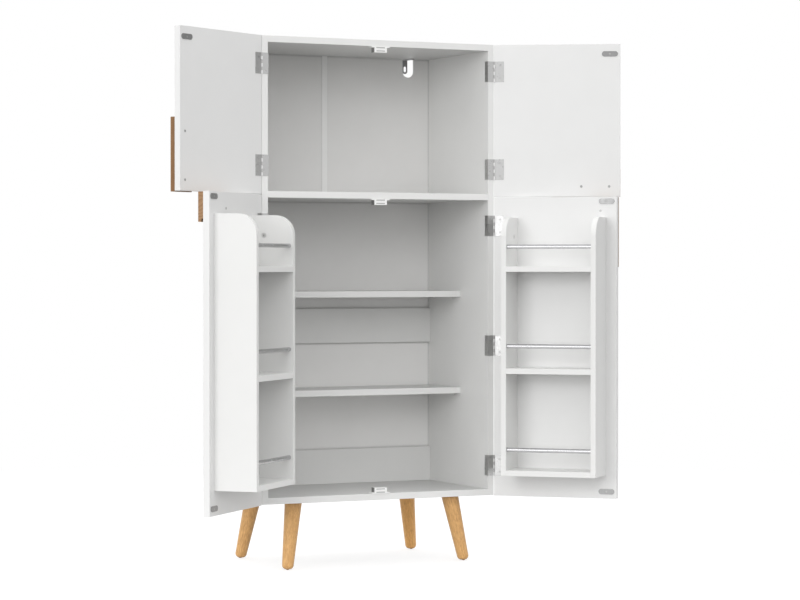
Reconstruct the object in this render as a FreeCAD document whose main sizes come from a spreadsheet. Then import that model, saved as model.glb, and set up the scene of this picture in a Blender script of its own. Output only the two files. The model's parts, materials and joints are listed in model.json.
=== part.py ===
import FreeCAD, Part
import os
import re
import Sketcher

# Tall kitchen cupboard on four splayed legs, with four doors standing open.
# Frame: +Z up, front towards -Y, +X to the right, origin on the floor under the middle of the case.
# Lengths are in millimetres. Every piece reads its sizes from the sheet.

SIZES = {
    # case
    "case_width": 600,
    "case_depth": 330,
    "case_height": 1072,
    "board": 15,
    "edge_round": 0.6,
    "divider_rise": 702,
    "leg_height": 154,
    # shelves in the lower compartment
    "shelf_rise_low": 237,
    "shelf_rise_high": 471,
    "shelf_setback": 140,
    "shelf_back_gap": 6,
    "shelf_play": 0.4,
    "shelf_pin": 5,
    "shelf_pin_length": 16,
    "shelf_pin_bite": 8,
    "shelf_pin_inset": 30,
    # back
    "back_sheet": 3,
    "back_inset": 16,
    "groove_depth": 5,
    "groove_play": 0.2,
    "rail_board": 15,
    "rail_height": 84,
    "rail_lip": 8,
    "rail_rise": 358,
    "strip_width": 14,
    "strip_skin": 0.8,
    "strip_web": 1,
    # wall bracket and the notch behind it
    "bracket_inset": 73,
    "bracket_width": 13.4,
    "bracket_steel": 2,
    "bracket_drop": 35,
    "bracket_reach": 40,
    "bracket_screw_reach": 28,
    "slot_width": 7,
    "slot_length": 14,
    "slot_lift": 4.5,
    "notch_width": 30,
    "notch_drop": 45,
    # panel joints
    "dowel": 8,
    "dowel_length": 30,
    "dowel_bite": 9.5,
    "dowel_spread": 100,
    "panel_screw": 6.8,
    "panel_screw_length": 50,
    "panel_screw_head": 10,
    "panel_screw_head_depth": 4,
    "panel_screw_spread": 62,
    "cover_disc": 13,
    "cover_disc_skin": 0.6,
    "fit_play": 0.05,
    "end_play": 0.5,
    # small screws
    "small_screw": 2.9,
    "small_screw_length": 11,
    "small_screw_head": 4.6,
    "small_screw_head_depth": 0.8,
    # legs
    "leg_inset_side": 96.3,
    "leg_inset_front": 41.8,
    "leg_inset_back": 55.8,
    "leg_splay_side": 25.4,
    "leg_splay_end": 23.8,
    "leg_top": 40,
    "leg_foot": 26,
    "leg_foot_round": 9.5,
    "glide": 6,
    "glide_skin": 1.5,
    "leg_plate": 50,
    "leg_plate_steel": 2.5,
    "leg_plate_play": 0.1,
    "leg_plate_screw_reach": 19,
    "leg_bolt": 8,
    "leg_bolt_down": 30,
    "leg_bolt_up": 8,
    # magnetic catches
    "catch_width": 49,
    "catch_body": 32.5,
    "catch_height": 14,
    "catch_depth": 16,
    "catch_ear": 2.8,
    "catch_lead": 2.1,
    "catch_front_wall": 1.5,
    "pole_width": 22,
    "pole_depth": 12,
    "pole_steel": 2.6,
    "pole_lift": 1.6,
    "pole_gap": 5,
    # doors
    "door_board": 15,
    "door_gap_middle": 3,
    "door_gap_level": 1.6,
    "door_overhang": 1.4,
    "door_lap": 0.7,
    # hinges
    "hinge_offset": 0.4,
    "hinge_gap": 3.6,
    "hinge_clear": 0.1,
    "hinge_leaf": 0.9,
    "hinge_length": 48.5,
    "hinge_pin": 1.8,
    "hinge_slack": 0.3,
    "hinge_wing": 15,
    "hinge_leaf_reach": 23,
    "hinge_screw_spread": 30,
    "hinge_inset_upper_top": 64,
    "hinge_inset_upper_base": 65.2,
    "hinge_inset_lower_top": 67.2,
    "hinge_inset_lower_base": 72.4,
    # strike plates
    "strike_length": 38,
    "strike_width": 12.5,
    "strike_steel": 1.2,
    "strike_inset": 24.5,
    "strike_drop_upper": 23.5,
    "strike_drop_lower": 10.7,
    "strike_lift_lower": 15,
    # grips
    "grip_length": 164,
    "grip_width": 66,
    "grip_thickness": 12,
    "grip_round": 1.5,
    "grip_rebate_width": 7,
    "grip_rebate_depth": 4,
    "grip_screw": 4,
    "grip_screw_head": 6,
    "grip_screw_head_depth": 2,
    "grip_screw_bite": 9,
    # where each grip and its two screws stand: in from the free edge, and away from the joint
    # between the doors
    "upper_left_grip_inset": 0,
    "upper_left_grip_drop": -1.8,
    "upper_right_grip_inset": 0,
    "upper_right_grip_drop": 0,
    "lower_left_grip_inset": 0,
    "lower_left_grip_drop": 1.2,
    "lower_right_grip_inset": 1.3,
    "lower_right_grip_drop": 1.2,
    "upper_left_first_inset": 18,
    "upper_left_first_drop": 24.2,
    "upper_left_second_inset": 18,
    "upper_left_second_drop": 131.2,
    "upper_right_first_inset": 26,
    "upper_right_first_drop": 24.2,
    "upper_right_second_inset": 92,
    "upper_right_second_drop": 24.2,
    "lower_left_first_inset": 93,
    "lower_left_first_drop": 36.2,
    "lower_left_second_inset": 56,
    "lower_left_second_drop": 51.2,
    "lower_right_first_inset": 40,
    "lower_right_first_drop": 33.2,
    "lower_right_second_inset": 40,
    "lower_right_second_drop": 140.2,
    # door racks
    "rack_inset_hinge": 44.5,
    "rack_inset_free": 26.2,
    "rack_board": 12,
    "rack_shelf": 13,
    "rack_depth": 100,
    "rack_rise": 54,
    "rack_top_gap": 48.7,
    "rack_corner": 45,
    "rack_shelf_step": 239,
    "rack_rail": 10,
    "rack_rail_inset": 10,
    "rack_rail_bite": 6,
    "rack_rail_lift_low": 61,
    "rack_rail_lift_middle": 65,
    "rack_rail_lift_high": 59,
    "cam": 12,
    "cam_depth": 9,
    "cam_setback": 29,
    "cam_drop": 45,
    "cam_bolt": 6,
    "cam_bolt_bite": 10,
    "rack_dowel": 6,
    "rack_dowel_length": 24,
    "rack_dowel_bite": 10,
}

# How far each door stands open, in degrees
ANGLES = {
    "upper_left_open_angle": 149.8,
    "upper_right_open_angle": 147.5,
    "lower_left_open_angle": 135.5,
    "lower_right_open_angle": 135.6,
}

# Counts, shares and the tolerance for picking edges
LEG_OVERRUN = 0.15
KNUCKLES = 6
WING_SCREW_SHARE = 0.55
LEAF_SCREW_SHARE = 0.6
RACK_DOWEL_SHARES = (0.12, 0.5)
RAIL_DOWEL_SHARE = 0.3
TOUCH = 1e-6

doc = FreeCAD.newDocument("tall_cupboard")
sheet = doc.addObject("Spreadsheet::Sheet", "sizes")
for row, (alias, value) in enumerate((SIZES | ANGLES).items(), start=1):
    sheet.set(f"A{row}", alias)
    sheet.set(f"B{row}", str(value))
    sheet.setAlias(f"B{row}", alias)
doc.recompute()

# Planes that several pieces share
FRONT = "(-case_depth / 2)"
REAR = "(case_depth / 2)"
INNER = "(case_width / 2 - board)"
CASE_LOW = "leg_height"
CASE_HIGH = "(leg_height + case_height)"
FLOOR_FACE = "(leg_height + board)"
DIVIDER_LOW = "(leg_height + divider_rise)"
DIVIDER_HIGH = "(leg_height + divider_rise + board)"
CEILING = "(leg_height + case_height - board)"
BACK = "(case_depth / 2 - back_inset - back_sheet / 2)"
RAIL_MIDDLE = f"({BACK} - back_sheet / 2 - rail_lip + rail_board / 2)"
RAIL_LOW = "(leg_height + rail_rise)"
AXIS_X = "(case_width / 2 + hinge_offset)"
AXIS_Y = "(-case_depth / 2 - hinge_gap / 2)"
KNUCKLE = "(hinge_gap - 2 * hinge_clear)"
LEAF_START = f"({KNUCKLE} / 2 + hinge_slack)"
DOOR_FACE = "(hinge_gap / 2)"
DOOR_BACK = "(hinge_gap / 2 + door_board)"
FREE_EDGE = "(case_width / 2 + hinge_offset - door_gap_middle / 2)"
UPPER_LOW = "(leg_height + divider_rise + board / 2 + door_gap_level / 2)"
LOWER_LOW = "(leg_height - door_overhang)"
LOWER_HIGH = "(leg_height + divider_rise + board / 2 - door_gap_level / 2)"
RACK_HINGE = "(hinge_offset + rack_inset_hinge)"
RACK_FREE = f"({FREE_EDGE} - rack_inset_free)"
RACK_HEIGHT = "(divider_rise + board / 2 - door_gap_level / 2 - rack_rise - rack_top_gap)"
SHELF_DEPTH = "(case_depth - shelf_setback - back_inset - back_sheet - shelf_back_gap)"
BRACKET_X = "(case_width / 2 - bracket_inset)"

TURNS = {"x": ("0; 1; 0", "90"), "y": ("1; 0; 0", "-90"), "z": ("0; 0; 1", "0")}
AXES = "xyz"


def formula(text):
    """A formula in which every driving size is read from the sheet."""
    known = SIZES | ANGLES
    return re.sub(r"[a-z_]+", lambda word: f"sizes.{word[0]}" if word[0] in known else word[0], text)


def number(text):
    return float(sheet.evalExpression(formula(text)))


def place(piece, spot, turn=("0; 0; 1", "0")):
    base = "; ".join(str(part) for part in spot)
    text = f"placement(vector({base}); rotation(vector({turn[0]}); {turn[1]}))"
    piece.setExpression("Placement", formula(text))
    return piece


def block(name, size, centre):
    """A box given by its three lengths and its centre."""
    piece = doc.addObject("Part::Box", name)
    for side, length in zip(("Length", "Width", "Height"), size):
        piece.setExpression(side, formula(length))
    return place(piece, [f"{middle} - ({length}) / 2" for middle, length in zip(centre, size)])


def board(name, size, centre):
    """A box with all its edges eased."""
    piece = doc.addObject("Part::Fillet", name + "_board")
    piece.Base = block(name + "_blank", size, centre)
    radius = SIZES["edge_round"]
    piece.Edges = [(edge, radius, radius) for edge in range(1, 13)]
    return piece


def rod(name, diameter, length, centre, along):
    """A round bar given by its centre and the axis it lies along."""
    piece = doc.addObject("Part::Cylinder", name)
    piece.setExpression("Radius", formula(f"({diameter}) / 2"))
    piece.setExpression("Height", formula(length))
    start = [f"{middle} - ({length}) / 2" if axis == along else middle for axis, middle in zip(AXES, centre)]
    return place(piece, start, TURNS[along])


def pin(name, diameter, length, start, along, way):
    """A round bar that runs from a start point along an axis, forwards (1) or backwards (-1)."""
    centre = [f"{at} + {way} * ({length}) / 2" if axis == along else at for axis, at in zip(AXES, start)]
    return rod(name, diameter, length, centre, along)


def fuse(name, pieces):
    piece = doc.addObject("Part::MultiFuse", name)
    piece.Shapes = pieces
    return piece


def cut(name, base, tools):
    piece = doc.addObject("Part::Cut", name)
    piece.Base = base
    piece.Tool = tools[0] if len(tools) == 1 else fuse(name + "_tools", tools)
    return piece


def group(name, pieces):
    piece = doc.addObject("Part::Compound", name)
    piece.Links = pieces
    return piece


def padded(name, corners, length):
    """A body padded along Z from a closed outline in the XY plane."""
    body = doc.addObject("PartDesign::Body", name)
    sketch = body.newObject("Sketcher::SketchObject", name + "_outline")
    plane = [feature for feature in body.Origin.OriginFeatures if feature.Role == "XY_Plane"][0]
    sketch.AttachmentSupport = [(plane, "")]
    sketch.MapMode = "FlatFace"
    points = [FreeCAD.Vector(number(x), number(y), 0) for x, y in corners]
    count = len(points)
    for index in range(count):
        sketch.addGeometry(Part.LineSegment(points[index], points[(index + 1) % count]))
    for index in range(count):
        sketch.addConstraint(Sketcher.Constraint("Coincident", index, 2, (index + 1) % count, 1))
    for index, (x, y) in enumerate(corners):
        for kind, text in (("DistanceX", x), ("DistanceY", y)):
            rule = sketch.addConstraint(Sketcher.Constraint(kind, -1, 1, index, 1, number(text)))
            sketch.setExpression(f"Constraints[{rule}]", formula(text))
    pad = body.newObject("PartDesign::Pad", name + "_pad")
    pad.Profile = sketch
    pad.setExpression("Length", formula(length))
    return body


def eased(body, radius, wanted):
    """Rounds the edges of a padded body whose bounds pass the given test."""
    doc.recompute()
    pad = body.Tip
    names = [f"Edge{i}" for i, edge in enumerate(pad.Shape.Edges, start=1) if wanted(edge.BoundBox)]
    fillet = body.newObject("PartDesign::Fillet", body.Name + "_ease")
    fillet.Base = (pad, names)
    fillet.setExpression("Radius", formula(radius))
    return body


def screw(name, start, along, way, kind, length):
    """A screw with its head flush with the start point, running into the material."""
    head = pin(name + "_head", f"{kind}_head", f"{kind}_head_depth", start, along, way)
    shank = pin(name + "_shank", kind, length, start, along, way)
    return fuse(name, [head, shank])


def screw_hole(name, start, along, way, kind, length):
    head = pin(name + "_bore", f"{kind}_head + 2 * fit_play", f"{kind}_head_depth", start, along, way)
    shank = pin(name + "_pilot", f"{kind} + 2 * fit_play", f"{length} + end_play", start, along, way)
    return [head, shank]


nodes = []


def keep(name, piece):
    """Hands a finished sub-part in under its own name."""
    piece.Label = name
    nodes.append(piece)
    return piece


# Panel joints: dowels and long screws through the side panels
case_dowels = []
case_screws = []
cover_discs = []


def dowel_joint(name, side, y, z):
    centre = (f"{side} * ({INNER} - dowel_length / 2 + dowel_bite)", y, z)
    case_dowels.append(rod(name, "dowel", "dowel_length", centre, "x"))
    return [rod(name + "_hole", "dowel + 2 * fit_play", "dowel_length + 2 * end_play", centre, "x")]


def screw_joint(name, side, y, z):
    start = (f"{side} * case_width / 2", y, z)
    case_screws.append(screw(name, start, "x", -side, "panel_screw", "panel_screw_length"))
    cover_discs.append(pin(name + "_disc", "cover_disc", "cover_disc_skin", start, "x", side))
    return screw_hole(name, start, "x", -side, "panel_screw", "panel_screw_length")


side_tools = {-1: [], 1: []}


def join_panel(name, height):
    """Holes for the dowels and screws at both ends of a level panel."""
    tools = []
    for side in (-1, 1):
        found = []
        for way in (-1, 1):
            found += dowel_joint(f"{name}_dowel", side, f"{way} * dowel_spread", height)
            found += screw_joint(f"{name}_screw", side, f"{way} * panel_screw_spread", height)
        side_tools[side] += found
        tools += found
    return tools


def join_rail(name, low):
    """Holes for the dowels and the screw at both ends of a back rail."""
    tools = []
    for side in (-1, 1):
        found = screw_joint(f"{name}_screw", side, RAIL_MIDDLE, f"{low} + rail_height / 2")
        for way in (-1, 1):
            height = f"{low} + rail_height / 2 + {way} * {RAIL_DOWEL_SHARE} * rail_height"
            found += dowel_joint(f"{name}_dowel", side, RAIL_MIDDLE, height)
        side_tools[side] += found
        tools += found
    return tools


def groove(name, height):
    """A level groove for the edge of a back sheet, centred on the given height."""
    size = ("case_width", "back_sheet + groove_play", "2 * groove_depth")
    return block(name, size, ("0", BACK, height))


PANEL = ("2 * " + INNER, "case_depth", "board")
top_tools = join_panel("top", f"{CEILING} + board / 2") + [groove("top_groove", CEILING)]
divider_tools = join_panel("divider", f"{DIVIDER_LOW} + board / 2")
divider_tools += [groove("divider_low_groove", DIVIDER_LOW), groove("divider_high_groove", DIVIDER_HIGH)]
bottom_tools = join_panel("bottom", f"{CASE_LOW} + board / 2")

RAIL = ("2 * " + INNER, "rail_board", "rail_height")
high_rail_tools = join_rail("high_rail", RAIL_LOW)
high_rail_tools += [groove("high_rail_low_groove", RAIL_LOW)]
high_rail_tools += [groove("high_rail_high_groove", f"({RAIL_LOW} + rail_height)")]
low_rail_tools = join_rail("low_rail", FLOOR_FACE)
low_rail_tools += [groove("low_rail_groove", f"({FLOOR_FACE} + rail_height)")]
for label, low, tools in (("back_rail_upper", RAIL_LOW, high_rail_tools),
                          ("back_rail_lower", FLOOR_FACE, low_rail_tools)):
    blank = board(label, RAIL, ("0", RAIL_MIDDLE, f"{low} + rail_height / 2"))
    keep(label, cut(label, blank, tools))

# Back sheets, held in grooves all round
SHEET_END = "(groove_depth - groove_play)"


def back_sheet(name, left, right, low, high):
    size = (f"{right} - ({left})", "back_sheet", f"{high} - ({low})")
    centre = (f"({right} + ({left})) / 2", BACK, f"({high} + ({low})) / 2")
    return block(name, size, centre)


WIDE = f"({INNER} + {SHEET_END})"
MIDDLE = "(strip_web / 2 + groove_play)"
UPPER_SPAN = (f"({DIVIDER_HIGH} - {SHEET_END})", f"({CEILING} + {SHEET_END})")
left_sheet = back_sheet("upper_back_left", f"-{WIDE}", f"-{MIDDLE}", *UPPER_SPAN)
keep("upper_back_left", left_sheet)
notch_low = f"({CEILING} - notch_drop)"
notch_tools = [
    block("notch_slot", ("notch_width", "3 * back_sheet", "notch_drop"),
          (BRACKET_X, BACK, f"{notch_low} + notch_width / 2 + notch_drop / 2")),
    rod("notch_end", "notch_width", "3 * back_sheet",
        (BRACKET_X, BACK, f"{notch_low} + notch_width / 2"), "y"),
]
right_sheet = back_sheet("upper_back_right_blank", MIDDLE, WIDE, *UPPER_SPAN)
keep("upper_back_right", cut("upper_back_right", right_sheet, notch_tools))
keep("middle_back", back_sheet("middle_back", f"-{WIDE}", WIDE, f"({RAIL_LOW} + rail_height - {SHEET_END})",
                               f"({DIVIDER_LOW} + {SHEET_END})"))
keep("lower_back", back_sheet("lower_back", f"-{WIDE}", WIDE, f"({FLOOR_FACE} + rail_height - {SHEET_END})",
                              f"({RAIL_LOW} + {SHEET_END})"))

half_gap = "(back_sheet + groove_play) / 2"
strip_face = f"({half_gap} + strip_skin)"
strip_corners = [
    ("-strip_width / 2", f"-{strip_face}"),
    ("strip_width / 2", f"-{strip_face}"),
    ("strip_width / 2", f"-{half_gap}"),
    ("strip_web / 2", f"-{half_gap}"),
    ("strip_web / 2", half_gap),
    ("strip_width / 2", half_gap),
    ("strip_width / 2", strip_face),
    ("-strip_width / 2", strip_face),
    ("-strip_width / 2", half_gap),
    ("-strip_web / 2", half_gap),
    ("-strip_web / 2", f"-{half_gap}"),
    ("-strip_width / 2", f"-{half_gap}"),
]
strip = padded("back_joint_strip", strip_corners, f"{CEILING} - {DIVIDER_HIGH}")
place(strip, ("0", BACK, DIVIDER_HIGH))
keep("back_joint_strip", strip)

# Shelves on pins
SHELF = (f"2 * ({INNER} - shelf_play)", SHELF_DEPTH, "board")
SHELF_MIDDLE = f"({FRONT} + shelf_setback + {SHELF_DEPTH} / 2)"
shelf_pins = []
for label, rise in (("shelf_upper", "shelf_rise_high"), ("shelf_lower", "shelf_rise_low")):
    keep(label, board(label, SHELF, ("0", SHELF_MIDDLE, f"{CASE_LOW} + {rise} + board / 2")))
    for side in (-1, 1):
        for way in (-1, 1):
            centre = (f"{side} * ({INNER} + shelf_pin_bite - shelf_pin_length / 2)",
                      f"{SHELF_MIDDLE} + {way} * ({SHELF_DEPTH} / 2 - shelf_pin_inset)",
                      f"{CASE_LOW} + {rise} - shelf_pin / 2")
            shelf_pins.append(rod("shelf_pin", "shelf_pin", "shelf_pin_length", centre, "x"))
            hole = ("shelf_pin + 2 * fit_play", "shelf_pin_length + 2 * end_play")
            side_tools[side].append(rod("shelf_pin_hole", *hole, centre, "x"))
keep("shelf_pins", group("shelf_pins", shelf_pins))

small_screws = []
SMALL = ("small_screw", "small_screw_length")

# Wall bracket under the top panel, reaching down into the notch
bracket_low = f"({CEILING} - bracket_drop)"
tab_middle = f"({REAR} - bracket_steel / 2)"
tab_round = f"{bracket_low} + bracket_width / 2"
slot_low = f"{bracket_low} + slot_lift + slot_width / 2"
slot_high = f"{bracket_low} + slot_lift + slot_length - slot_width / 2"
bracket_solid = fuse("wall_bracket_solid", [
    block("bracket_flat", ("bracket_width", "bracket_reach", "bracket_steel"),
          (BRACKET_X, f"{REAR} - bracket_reach / 2", f"{CEILING} - bracket_steel / 2")),
    block("bracket_tab", ("bracket_width", "bracket_steel", "bracket_drop - bracket_width / 2"),
          (BRACKET_X, tab_middle, f"{CEILING} - (bracket_drop - bracket_width / 2) / 2")),
    rod("bracket_end", "bracket_width", "bracket_steel", (BRACKET_X, tab_middle, tab_round), "y"),
])
bracket_tools = [
    block("slot_middle", ("slot_width", "3 * bracket_steel", "slot_length - slot_width"),
          (BRACKET_X, tab_middle, f"({slot_low} + {slot_high}) / 2")),
    rod("slot_low", "slot_width", "3 * bracket_steel", (BRACKET_X, tab_middle, slot_low), "y"),
    rod("slot_high", "slot_width", "3 * bracket_steel", (BRACKET_X, tab_middle, slot_high), "y"),
]
bracket_screw = (BRACKET_X, f"{REAR} - bracket_screw_reach", f"{CEILING} - bracket_steel")
small_screws.append(screw("bracket_screw", bracket_screw, "z", 1, *SMALL))
bracket_hole = screw_hole("bracket_screw", bracket_screw, "z", 1, *SMALL)
top_tools += bracket_hole
keep("wall_bracket", cut("wall_bracket", bracket_solid, bracket_tools + bracket_hole))

# Magnetic catches: a moulded body on two ears, two steel poles and the magnet between them
catch_bodies = []
catch_magnets = []
CATCH_FRONT = f"({FRONT} - catch_lead)"
CATCH_OUTLINE = [
    ("-catch_width / 2", "0"),
    ("catch_width / 2", "0"),
    ("catch_width / 2 - catch_ear", "catch_ear"),
    ("catch_body / 2", "catch_ear"),
    ("catch_body / 2", "catch_height"),
    ("-catch_body / 2", "catch_height"),
    ("-catch_body / 2", "catch_ear"),
    ("-catch_width / 2 + catch_ear", "catch_ear"),
]
HANGING = ("1; 0; 0", "-90")
STANDING = ("0; 1; 1", "180")
for seat, way, host_tools in ((CEILING, -1, top_tools), (DIVIDER_LOW, -1, divider_tools),
                              (FLOOR_FACE, 1, bottom_tools)):
    blank = padded("catch_blank", CATCH_OUTLINE, "catch_depth")
    place(blank, ("0", CATCH_FRONT, seat), HANGING if way < 0 else STANDING)
    tools = []
    for lift in ("pole_lift", "pole_lift + pole_steel + pole_gap"):
        centre = ("0", f"{CATCH_FRONT} + pole_depth / 2", f"{seat} + {way} * ({lift} + pole_steel / 2)")
        catch_magnets.append(block("catch_pole", ("pole_width", "pole_depth", "pole_steel"), centre))
        size = ("pole_width + 2 * fit_play", "pole_depth + 2 * fit_play", "pole_steel + 2 * fit_play")
        tools.append(block("catch_pole_slot", size, centre))
    middle = f"{CATCH_FRONT} + (catch_front_wall + pole_depth) / 2"
    centre = ("0", middle, f"{seat} + {way} * (pole_lift + pole_steel + pole_gap / 2)")
    size = ("pole_width", "pole_depth - catch_front_wall", "pole_gap")
    catch_magnets.append(block("catch_magnet", size, centre))
    tools.append(block("catch_magnet_room", [f"{length} + 2 * fit_play" for length in size], centre))
    for side in (-1, 1):
        start = (f"{side} * ((catch_body + catch_width) / 4 - catch_ear / 2)",
                 f"{CATCH_FRONT} + catch_depth / 2", f"{seat} + {way} * catch_ear")
        small_screws.append(screw("catch_screw", start, "z", -way, *SMALL))
        hole = screw_hole("catch_screw", start, "z", -way, *SMALL)
        tools += hole
        host_tools += hole
    catch_bodies.append(cut("catch", blank, tools))
keep("catch_bodies", group("catch_bodies", catch_bodies))
keep("catch_magnets", group("catch_magnets", catch_magnets))

# Legs: tapered, splayed, cut level at both ends, each on a plate let into the bottom panel
LEG_LENGTH = "sqrt(leg_splay_side ^ 2 + leg_splay_end ^ 2 + leg_height ^ 2)"
LEG_TILT = "atan(hypot(leg_splay_side; leg_splay_end) / leg_height)"
LEG_PLACES = {
    "leg_front_left": (-1, -1),
    "leg_front_right": (1, -1),
    "leg_back_left": (-1, 1),
    "leg_back_right": (1, 1),
}
leg_bolts = []
leg_plates = []
leg_glides = []
for label, (side, end) in LEG_PLACES.items():
    inset = "leg_inset_back" if end > 0 else "leg_inset_front"
    top_x = f"{side} * (case_width / 2 - leg_inset_side)"
    top_y = f"{end} * (case_depth / 2 - {inset})"
    tilt = (f"{end} * leg_splay_end; {-side} * leg_splay_side; 0", LEG_TILT)

    def on_leg(share):
        """A point on the leg's axis: 0 at the top, 1 on the floor."""
        return (f"{top_x} + {side} * leg_splay_side * ({share})",
                f"{top_y} + {end} * leg_splay_end * ({share})",
                f"{CASE_LOW} - leg_height * ({share})")

    cone = doc.addObject("Part::Cone", label + "_taper")
    taper = f"{LEG_OVERRUN} * (leg_top - leg_foot) / 2"
    cone.setExpression("Radius1", formula(f"leg_foot / 2 - {taper}"))
    cone.setExpression("Radius2", formula(f"leg_top / 2 + {taper}"))
    cone.setExpression("Height", formula(f"(1 + 2 * {LEG_OVERRUN}) * {LEG_LENGTH}"))
    place(cone, on_leg(f"1 + {LEG_OVERRUN}"), tilt)
    level = doc.addObject("Part::Common", label + "_level")
    level.Base = cone
    level.Tool = block(label + "_slab", ("2 * case_width", "2 * case_depth", "leg_height - glide_skin"),
                       ("0", "0", "(leg_height + glide_skin) / 2"))
    doc.recompute()
    foot = doc.addObject("Part::Fillet", label + "_foot")
    foot.Base = level
    radius = SIZES["leg_foot_round"]
    middle_height = number("leg_height / 2")
    foot.Edges = [(index, radius, radius) for index, edge in enumerate(level.Shape.Edges, start=1)
                  if edge.BoundBox.ZMax < middle_height]

    bolt_start = on_leg(f"leg_bolt_down / {LEG_LENGTH}")
    bolt = doc.addObject("Part::Cylinder", label + "_bolt")
    bore = doc.addObject("Part::Cylinder", label + "_bore")
    bolt.setExpression("Radius", formula("leg_bolt / 2"))
    bore.setExpression("Radius", formula("leg_bolt / 2 + fit_play"))
    bolt.setExpression("Height", formula("leg_bolt_down + leg_bolt_up"))
    bore.setExpression("Height", formula("leg_bolt_down + leg_bolt_up + end_play"))
    for piece in (bolt, bore):
        place(piece, bolt_start, tilt)
    leg_bolts.append(bolt)
    bottom_tools.append(bore)
    keep(label, cut(label, foot, [bore]))

    plate_centre = (top_x, top_y, f"{CASE_LOW} + leg_plate_steel / 2")
    plate = block("leg_plate", ("leg_plate", "leg_plate", "leg_plate_steel"), plate_centre)
    recess = "leg_plate + 2 * leg_plate_play"
    bottom_tools.append(block("leg_plate_recess", (recess, recess, "leg_plate_steel"), plate_centre))
    plate_tools = [bore]
    for way in (-1, 1):
        reach = f"{way} * leg_plate_screw_reach"
        start = (f"{top_x} + {reach}", f"{top_y} + {reach}", CASE_LOW)
        small_screws.append(screw("leg_plate_screw", start, "z", 1, *SMALL))
        hole = screw_hole("leg_plate_screw", start, "z", 1, *SMALL)
        plate_tools += hole
        bottom_tools += hole
    leg_plates.append(cut("leg_plate_drilled", plate, plate_tools))
    foot_x, foot_y, _ = on_leg("1 - glide_skin / leg_height")
    leg_glides.append(pin("leg_glide", "glide", "glide_skin", (foot_x, foot_y, "0"), "z", 1))
keep("leg_plates", group("leg_plates", leg_plates))
keep("leg_bolts", group("leg_bolts", leg_bolts))
keep("leg_glides", group("leg_glides", leg_glides))

# Doors. Each is built about its own hinge axis: "reach" runs from the axis to the free edge,
# "out" runs out of the cupboard when the door is shut.
DOORS = {
    "upper_left": {
        "side": -1, "low": UPPER_LOW, "high": CASE_HIGH, "lower": False, "grip_turn": "0; 0; 1",
        "hinges": ("hinge_inset_upper_base", "hinge_inset_upper_top"), "middle_hinge": False,
        "strikes": (f"{CASE_HIGH} - strike_drop_upper",),
    },
    "upper_right": {
        "side": 1, "low": UPPER_LOW, "high": CASE_HIGH, "lower": False, "grip_turn": "1; 0; 1",
        "hinges": ("hinge_inset_upper_base", "hinge_inset_upper_top"), "middle_hinge": False,
        "strikes": (f"{CASE_HIGH} - strike_drop_upper",),
    },
    "lower_left": {
        "side": -1, "low": LOWER_LOW, "high": LOWER_HIGH, "lower": True, "grip_turn": "1; 0; -1",
        "hinges": ("hinge_inset_lower_base", "hinge_inset_lower_top"), "middle_hinge": True,
        "strikes": (f"{LOWER_HIGH} - strike_drop_lower", f"{CASE_LOW} + strike_lift_lower"),
    },
    "lower_right": {
        "side": 1, "low": LOWER_LOW, "high": LOWER_HIGH, "lower": True, "grip_turn": "1; 0; 0",
        "hinges": ("hinge_inset_lower_base", "hinge_inset_lower_top"), "middle_hinge": True,
        "strikes": (f"{LOWER_HIGH} - strike_drop_lower", f"{CASE_LOW} + strike_lift_lower"),
    },
}
case_leaves = []
hinge_pins = []


def segments(height, first):
    """Middles of every second knuckle of a hinge centred on the given height, counted from the top."""
    share = f"hinge_length / {KNUCKLES}"
    return [f"{height} + hinge_length / 2 - ({index} + 0.5) * {share}" for index in range(first, KNUCKLES, 2)]


KNUCKLE_LENGTH = f"hinge_length / {KNUCKLES} - hinge_slack"
BORE = ("hinge_pin + 2 * fit_play", "hinge_length + 2 * end_play")


def case_leaf(side, height):
    """The leaf that wraps the front edge of a side panel, with its knuckles and screws."""
    strap_start = f"({INNER} - hinge_leaf)"
    strap_end = f"({AXIS_X} - {LEAF_START})"
    strap_y = f"{FRONT} - hinge_leaf / 2"
    pieces = [
        block("wing", ("hinge_leaf", "hinge_wing + hinge_leaf", "hinge_length"),
              (f"{side} * ({INNER} - hinge_leaf / 2)", f"{FRONT} + (hinge_wing - hinge_leaf) / 2", height)),
        block("strap", (f"{strap_end} - {strap_start}", "hinge_leaf", "hinge_length"),
              (f"{side} * ({strap_end} + {strap_start}) / 2", strap_y, height)),
    ]
    for middle in segments(height, 0):
        pieces.append(block("tab", (LEAF_START, "hinge_leaf", KNUCKLE_LENGTH),
                            (f"{side} * ({AXIS_X} - {LEAF_START} / 2)", strap_y, middle)))
        spot = (f"{side} * {AXIS_X}", AXIS_Y, middle)
        pieces.append(rod("knuckle", KNUCKLE, KNUCKLE_LENGTH, spot, "z"))
    axis = (f"{side} * {AXIS_X}", AXIS_Y, height)
    tools = [rod("knuckle_bore", *BORE, axis, "z")]
    hinge_pins.append(rod("hinge_pin", "hinge_pin", "hinge_length", axis, "z"))
    for way in (-1, 1):
        start = (f"{side} * {strap_start}", f"{FRONT} + {WING_SCREW_SHARE} * hinge_wing",
                 f"{height} + {way} * hinge_screw_spread / 2")
        small_screws.append(screw("wing_screw", start, "x", side, *SMALL))
        hole = screw_hole("wing_screw", start, "x", side, *SMALL)
        tools += hole
        side_tools[side] += hole
    case_leaves.append(cut("case_leaf", fuse("case_leaf_solid", pieces), tools))


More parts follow.
